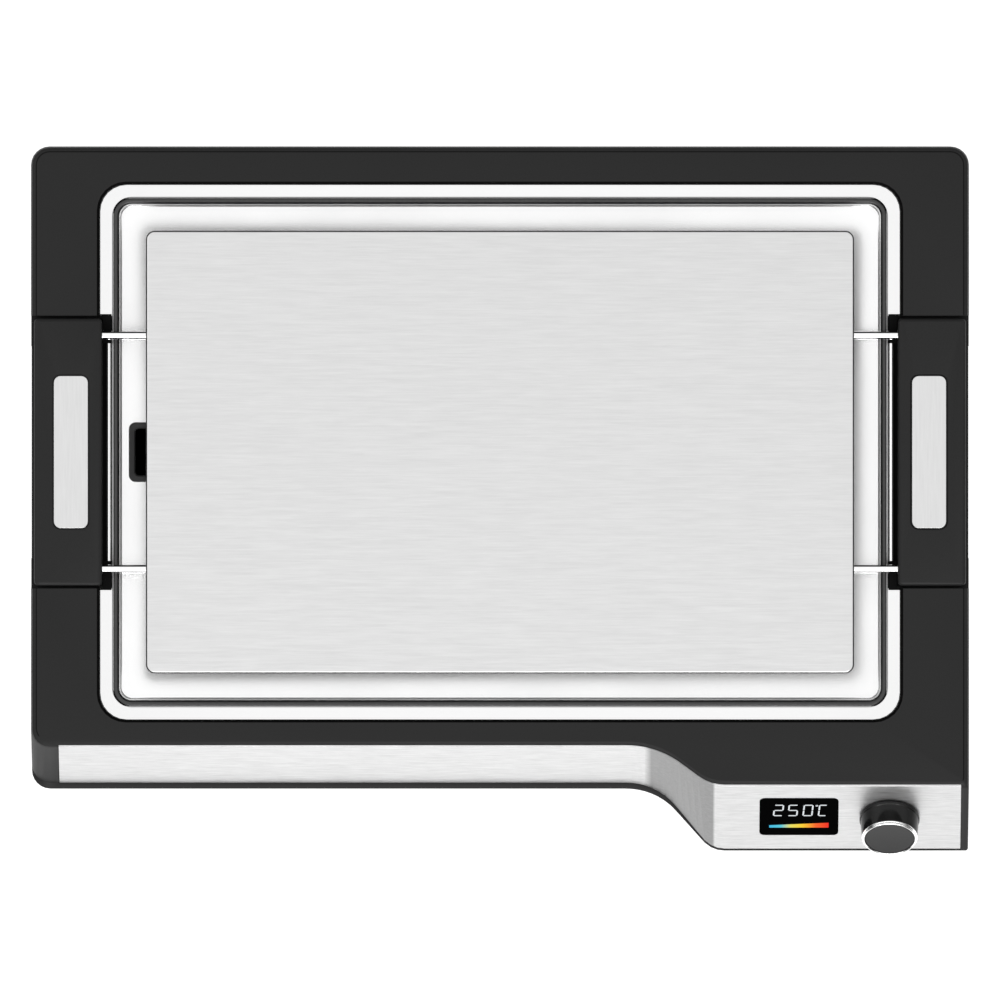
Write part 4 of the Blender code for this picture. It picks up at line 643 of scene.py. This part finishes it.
def make_display():
    """Dark window with lit seven-stroke figures and a warm-to-hot wedge just under its face."""
    half_w = (WINDOW_HIGH.x - WINDOW_LOW.x) / 2
    half_h = 17.75 * MM
    ease = 0.35 * MM
    back = -2.6 * MM
    face = 0.2 * MM
    levels = [(half_w, half_h, 2.8 * MM, back), (half_w, half_h, 2.8 * MM, face - ease)]
    levels += [(half_w - a, half_h - a, 2.8 * MM - a, z) for a, z in arc(ease, face - ease, ease, 180, 90, 4)]
    window = on_panel(rectangle_stack(levels, (0, 0), segments=8), PANEL_WINDOW)
    finish_piece(window, "display_window_finished", "display_window")

    strokes = {
        "top": ((0, 1), (1, 1)), "middle": ((0, 0.5), (1, 0.5)), "bottom": ((0, 0), (1, 0)),
        "upper_left": ((0, 0.5), (0, 1)), "upper_right": ((1, 0.5), (1, 1)),
        "lower_left": ((0, 0), (0, 0.5)), "lower_right": ((1, 0), (1, 0.5)),
    }
    figures = [
        (-14.5 * MM, ("top", "upper_right", "middle", "lower_left", "bottom")),
        (-6.3 * MM, ("top", "upper_left", "middle", "lower_right", "bottom")),
        (2.2 * MM, ("top", "upper_left", "upper_right", "lower_left", "lower_right", "bottom")),
        (10.9 * MM, ("top", "upper_left", "lower_left", "bottom")),
    ]
    width, letter_width, height, foot, line = 4.9 * MM, 4.2 * MM, 10.1 * MM, 1.3 * MM, 0.85 * MM
    bm = bmesh.new()
    for left, names in figures:
        for stroke in names:
            (x0, y0), (x1, y1) = strokes[stroke]
            wide = width if "middle" in names or "upper_right" in names else letter_width
            start = Vector((left + x0 * wide, foot + y0 * height, 0))
            end = Vector((left + x1 * wide, foot + y1 * height, 0))
            add_stroke(bm, start, end, line, face)
    degree = 1.0 * MM
    dx, dy = 9.8 * MM, foot + height - degree
    for start, end in (((0, 0), (1, 0)), ((0, 1), (1, 1)), ((0, 0), (0, 1)), ((1, 0), (1, 1))):
        a = Vector((dx - degree + start[0] * degree, dy + start[1] * degree, 0))
        b = Vector((dx - degree + end[0] * degree, dy + end[1] * degree, 0))
        add_stroke(bm, a, b, line * 0.55, face)
    lean = Matrix.Identity(4)
    lean[0][1] = 0.07
    bmesh.ops.transform(bm, matrix=lean, verts=bm.verts)
    on_panel(bm, PANEL_WINDOW)
    finish_piece(bm, "display_figures", "display_window", materials=[lit_figures()], hides=False)

    bar = bmesh.new()
    bmesh.ops.create_cube(bar, size=1, matrix=Matrix.Diagonal((33.6 * MM, 1, 0.05 * MM, 1)))
    for vert in bar.verts:
        rise = 2.3 * MM if vert.co.x < 0 else 4.7 * MM
        vert.co.y = -10.3 * MM + (rise if vert.co.y > 0 else 0)
        vert.co.z += face
    long_edges = [edge for edge in bar.edges if abs(edge.verts[0].co.x - edge.verts[1].co.x) > 1 * MM]
    bmesh.ops.subdivide_edges(bar, edges=long_edges, cuts=12)
    on_panel(bar, PANEL_WINDOW)
    finish_piece(bar, "display_heat_bar", "display_window", materials=[heat_bar()], hides=False)


def add_stroke(bm, start, end, line, face):
    """One lit stroke: a thin block with pointed ends."""
    along = end - start
    length = along.length - line * 0.35
    turn = Matrix.Rotation(math.atan2(along.y, along.x), 4, "Z")
    middle = (start + end) / 2 + Vector((0, 0, face))
    before = set(bm.verts)
    place = Matrix.Translation(middle) @ turn @ Matrix.Diagonal((length, line, 0.05 * MM, 1))
    bmesh.ops.create_cube(bm, size=1, matrix=place)
    new = [v for v in bm.verts if v not in before]
    uprights = {
        e for v in new for e in v.link_edges if abs(e.verts[0].co.z - e.verts[1].co.z) > 0.01 * MM
    }
    bmesh.ops.bevel(
        bm, geom=list(uprights), offset=line * 0.42, offset_type="OFFSET", segments=1, profile=0.5,
        affect="EDGES", material=-1,
    )


def lit_figures():
    """Cool white light, a little uneven."""
    material, nodes, links, shader, place = new_material("lit_figures", roughness=0.4, specular_ior_level=0.0)
    noise = nodes.new("ShaderNodeTexNoise")
    noise.inputs["Scale"].default_value = 900.0
    links.new(place, noise.inputs["Vector"])
    mask = spread(nodes, links, noise.outputs["Fac"], 0, 1)
    colour = tint(nodes, links, mask, (0.80, 0.86, 0.90), (0.95, 0.98, 1.0))
    links.new(colour, shader.inputs["Emission Color"])
    shader.inputs["Emission Strength"].default_value = 0.9
    shader.inputs["Base Color"].default_value = (*grey(0.02), 1)
    return material


def heat_bar():
    """Cyan through yellow to red along the wedge."""
    material, nodes, links, shader, place = new_material("heat_bar", roughness=0.4, specular_ior_level=0.0)
    split = nodes.new("ShaderNodeSeparateXYZ")
    links.new(place, split.inputs["Vector"])
    half = 16.8 * MM
    share = spread(nodes, links, split.outputs["X"], 0, 1, PANEL_WINDOW.x - half, PANEL_WINDOW.x + half)
    ramp = nodes.new("ShaderNodeValToRGB")
    stops = [
        (0.0, (0.05, 0.50, 0.78)), (0.20, (0.10, 0.58, 0.70)), (0.36, (0.80, 0.72, 0.12)),
        (0.55, (0.95, 0.62, 0.03)), (0.78, (0.93, 0.13, 0.02)), (1.0, (0.90, 0.02, 0.01)),
    ]
    elements = ramp.color_ramp.elements
    elements[0].position, elements[0].color = stops[0][0], (*stops[0][1], 1)
    elements[1].position, elements[1].color = stops[-1][0], (*stops[-1][1], 1)
    for position, colour in stops[1:-1]:
        element = elements.new(position)
        element.color = (*colour, 1)
    links.new(share, ramp.inputs["Fac"])
    links.new(ramp.outputs["Color"], shader.inputs["Emission Color"])
    shader.inputs["Emission Strength"].default_value = 1.0
    shader.inputs["Base Color"].default_value = (*grey(0.01), 1)
    return material


# ---------------------------------------------------------------- assemble
EDGE_WIDTHS = {
    "bottom_cover": 0.4, "front_fascia": 0.15, "mains_inlet": 0.4,
    "grease_cup": 0.5, "cup_rail": 0.3, "handle_shell": 0.5, "handle_cover": 0.3, "handle_inlay": 0.1,
    "element_cover": 0.3, "plate_bracket": 0.6, "contact": 0.3, "power_board": 0.2, "control_board": 0.2,
    "display_module": 0.3, "encoder_body": 0.3, "encoder_nut": 0.3, "heater_relay": 0.3,
    "temperature_sensor": 0.5, "thermal_cutout": 0.7, "foot": 0.3,
}


def edge_width(node):
    return next((width * MM for start, width in EDGE_WIDTHS.items() if node.startswith(start)), 0)


make_base_frame()
make_cooking_plate()
make_drip_tray()
make_drain_funnel()
make_knob()
make_display()
SPECIAL = {
    "base_frame", "cooking_plate", "drip_tray", "drain_funnel", "knob_body", "knob_ring", "knob_cap",
    "display_window",
}
for node in frame["nodes"]:
    if node in SPECIAL:
        continue
    if node.startswith("handle_rod"):
        make_rod(node)
    elif node.startswith("tray_stop_bar"):
        make_stop_bar(node)
    elif node.startswith("handle_inlay"):
        finished_copy(node, edge_width(node), materials=[INLAY_STEEL])
    else:
        finished_copy(node, edge_width(node))


# ---------------------------------------------------------------- studio
def make_floor():
    bm = bmesh.new()
    bmesh.ops.create_grid(bm, x_segments=1, y_segments=1, size=20)
    mesh = bpy.data.meshes.new("studio_floor")
    bm.to_mesh(mesh)
    bm.free()
    material, nodes, links, shader, place = new_material("studio_floor", roughness=0.6)
    noise = nodes.new("ShaderNodeTexNoise")
    noise.inputs["Scale"].default_value = 3.0
    links.new(place, noise.inputs["Vector"])
    tone = tint(nodes, links, noise.outputs["Fac"], grey(0.40), grey(0.42))
    links.new(tone, shader.inputs["Base Color"])
    shader.inputs["Emission Color"].default_value = (1, 1, 1, 1)
    shader.inputs["Emission Strength"].default_value = 0.86
    mesh.materials.append(material)
    floor = bpy.data.objects.new("studio_floor", mesh)
    bpy.context.scene.collection.objects.link(floor)


def make_world():
    """Bright overhead, falling to a dark horizon."""
    world = bpy.data.worlds.new("studio")
    bpy.context.scene.world = world
    world.use_nodes = True
    nodes, links = world.node_tree.nodes, world.node_tree.links
    coordinates = nodes.new("ShaderNodeTexCoord")
    split = nodes.new("ShaderNodeSeparateXYZ")
    links.new(coordinates.outputs["Generated"], split.inputs["Vector"])
    ramp = nodes.new("ShaderNodeValToRGB")
    ramp.color_ramp.interpolation = "EASE"
    elements = ramp.color_ramp.elements
    elements[0].position, elements[0].color = 0.36, (0.10, 0.10, 0.10, 1)
    elements[1].position, elements[1].color = 0.72, (1, 1, 1, 1)
    links.new(split.outputs["Z"], ramp.inputs["Fac"])
    links.new(ramp.outputs["Color"], nodes["Background"].inputs["Color"])
    nodes["Background"].inputs["Strength"].default_value = 1.12


def make_light(name, place, size, energy):
    light = bpy.data.lights.new(name, "AREA")
    light.shape = "RECTANGLE"
    light.size, light.size_y = size
    light.energy = energy
    lamp = bpy.data.objects.new(name, light)
    lamp.location = place
    lamp.rotation_euler = (-Vector(place)).to_track_quat("-Z", "Y").to_euler()
    lamp.visible_camera = False
    bpy.context.scene.collection.objects.link(lamp)


CAMERA_HEIGHT = 24.0
CAMERA_BACK = 0.75 * MM
FIELD = 0.5650                # metres across the view at the height of the base's top


def make_camera():
    camera = bpy.data.cameras.new("camera")
    camera.sensor_width = 36
    camera.lens = 36 * (CAMERA_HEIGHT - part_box("base_frame")[1][2]) / FIELD
    camera.clip_end = 50
    rig = bpy.data.objects.new("camera", camera)
    rig.location = (0, CAMERA_BACK, CAMERA_HEIGHT)
    bpy.context.scene.collection.objects.link(rig)
    bpy.context.scene.camera = rig


make_floor()
make_world()
make_light("front_softbox", (0.1, -1.6, 1.2), (1.6, 0.8), 20)
make_light("left_softbox", (-1.6, 0.4, 1.4), (0.8, 1.4), 3)
make_camera()
bpy.context.scene.view_settings.view_transform = "Standard"
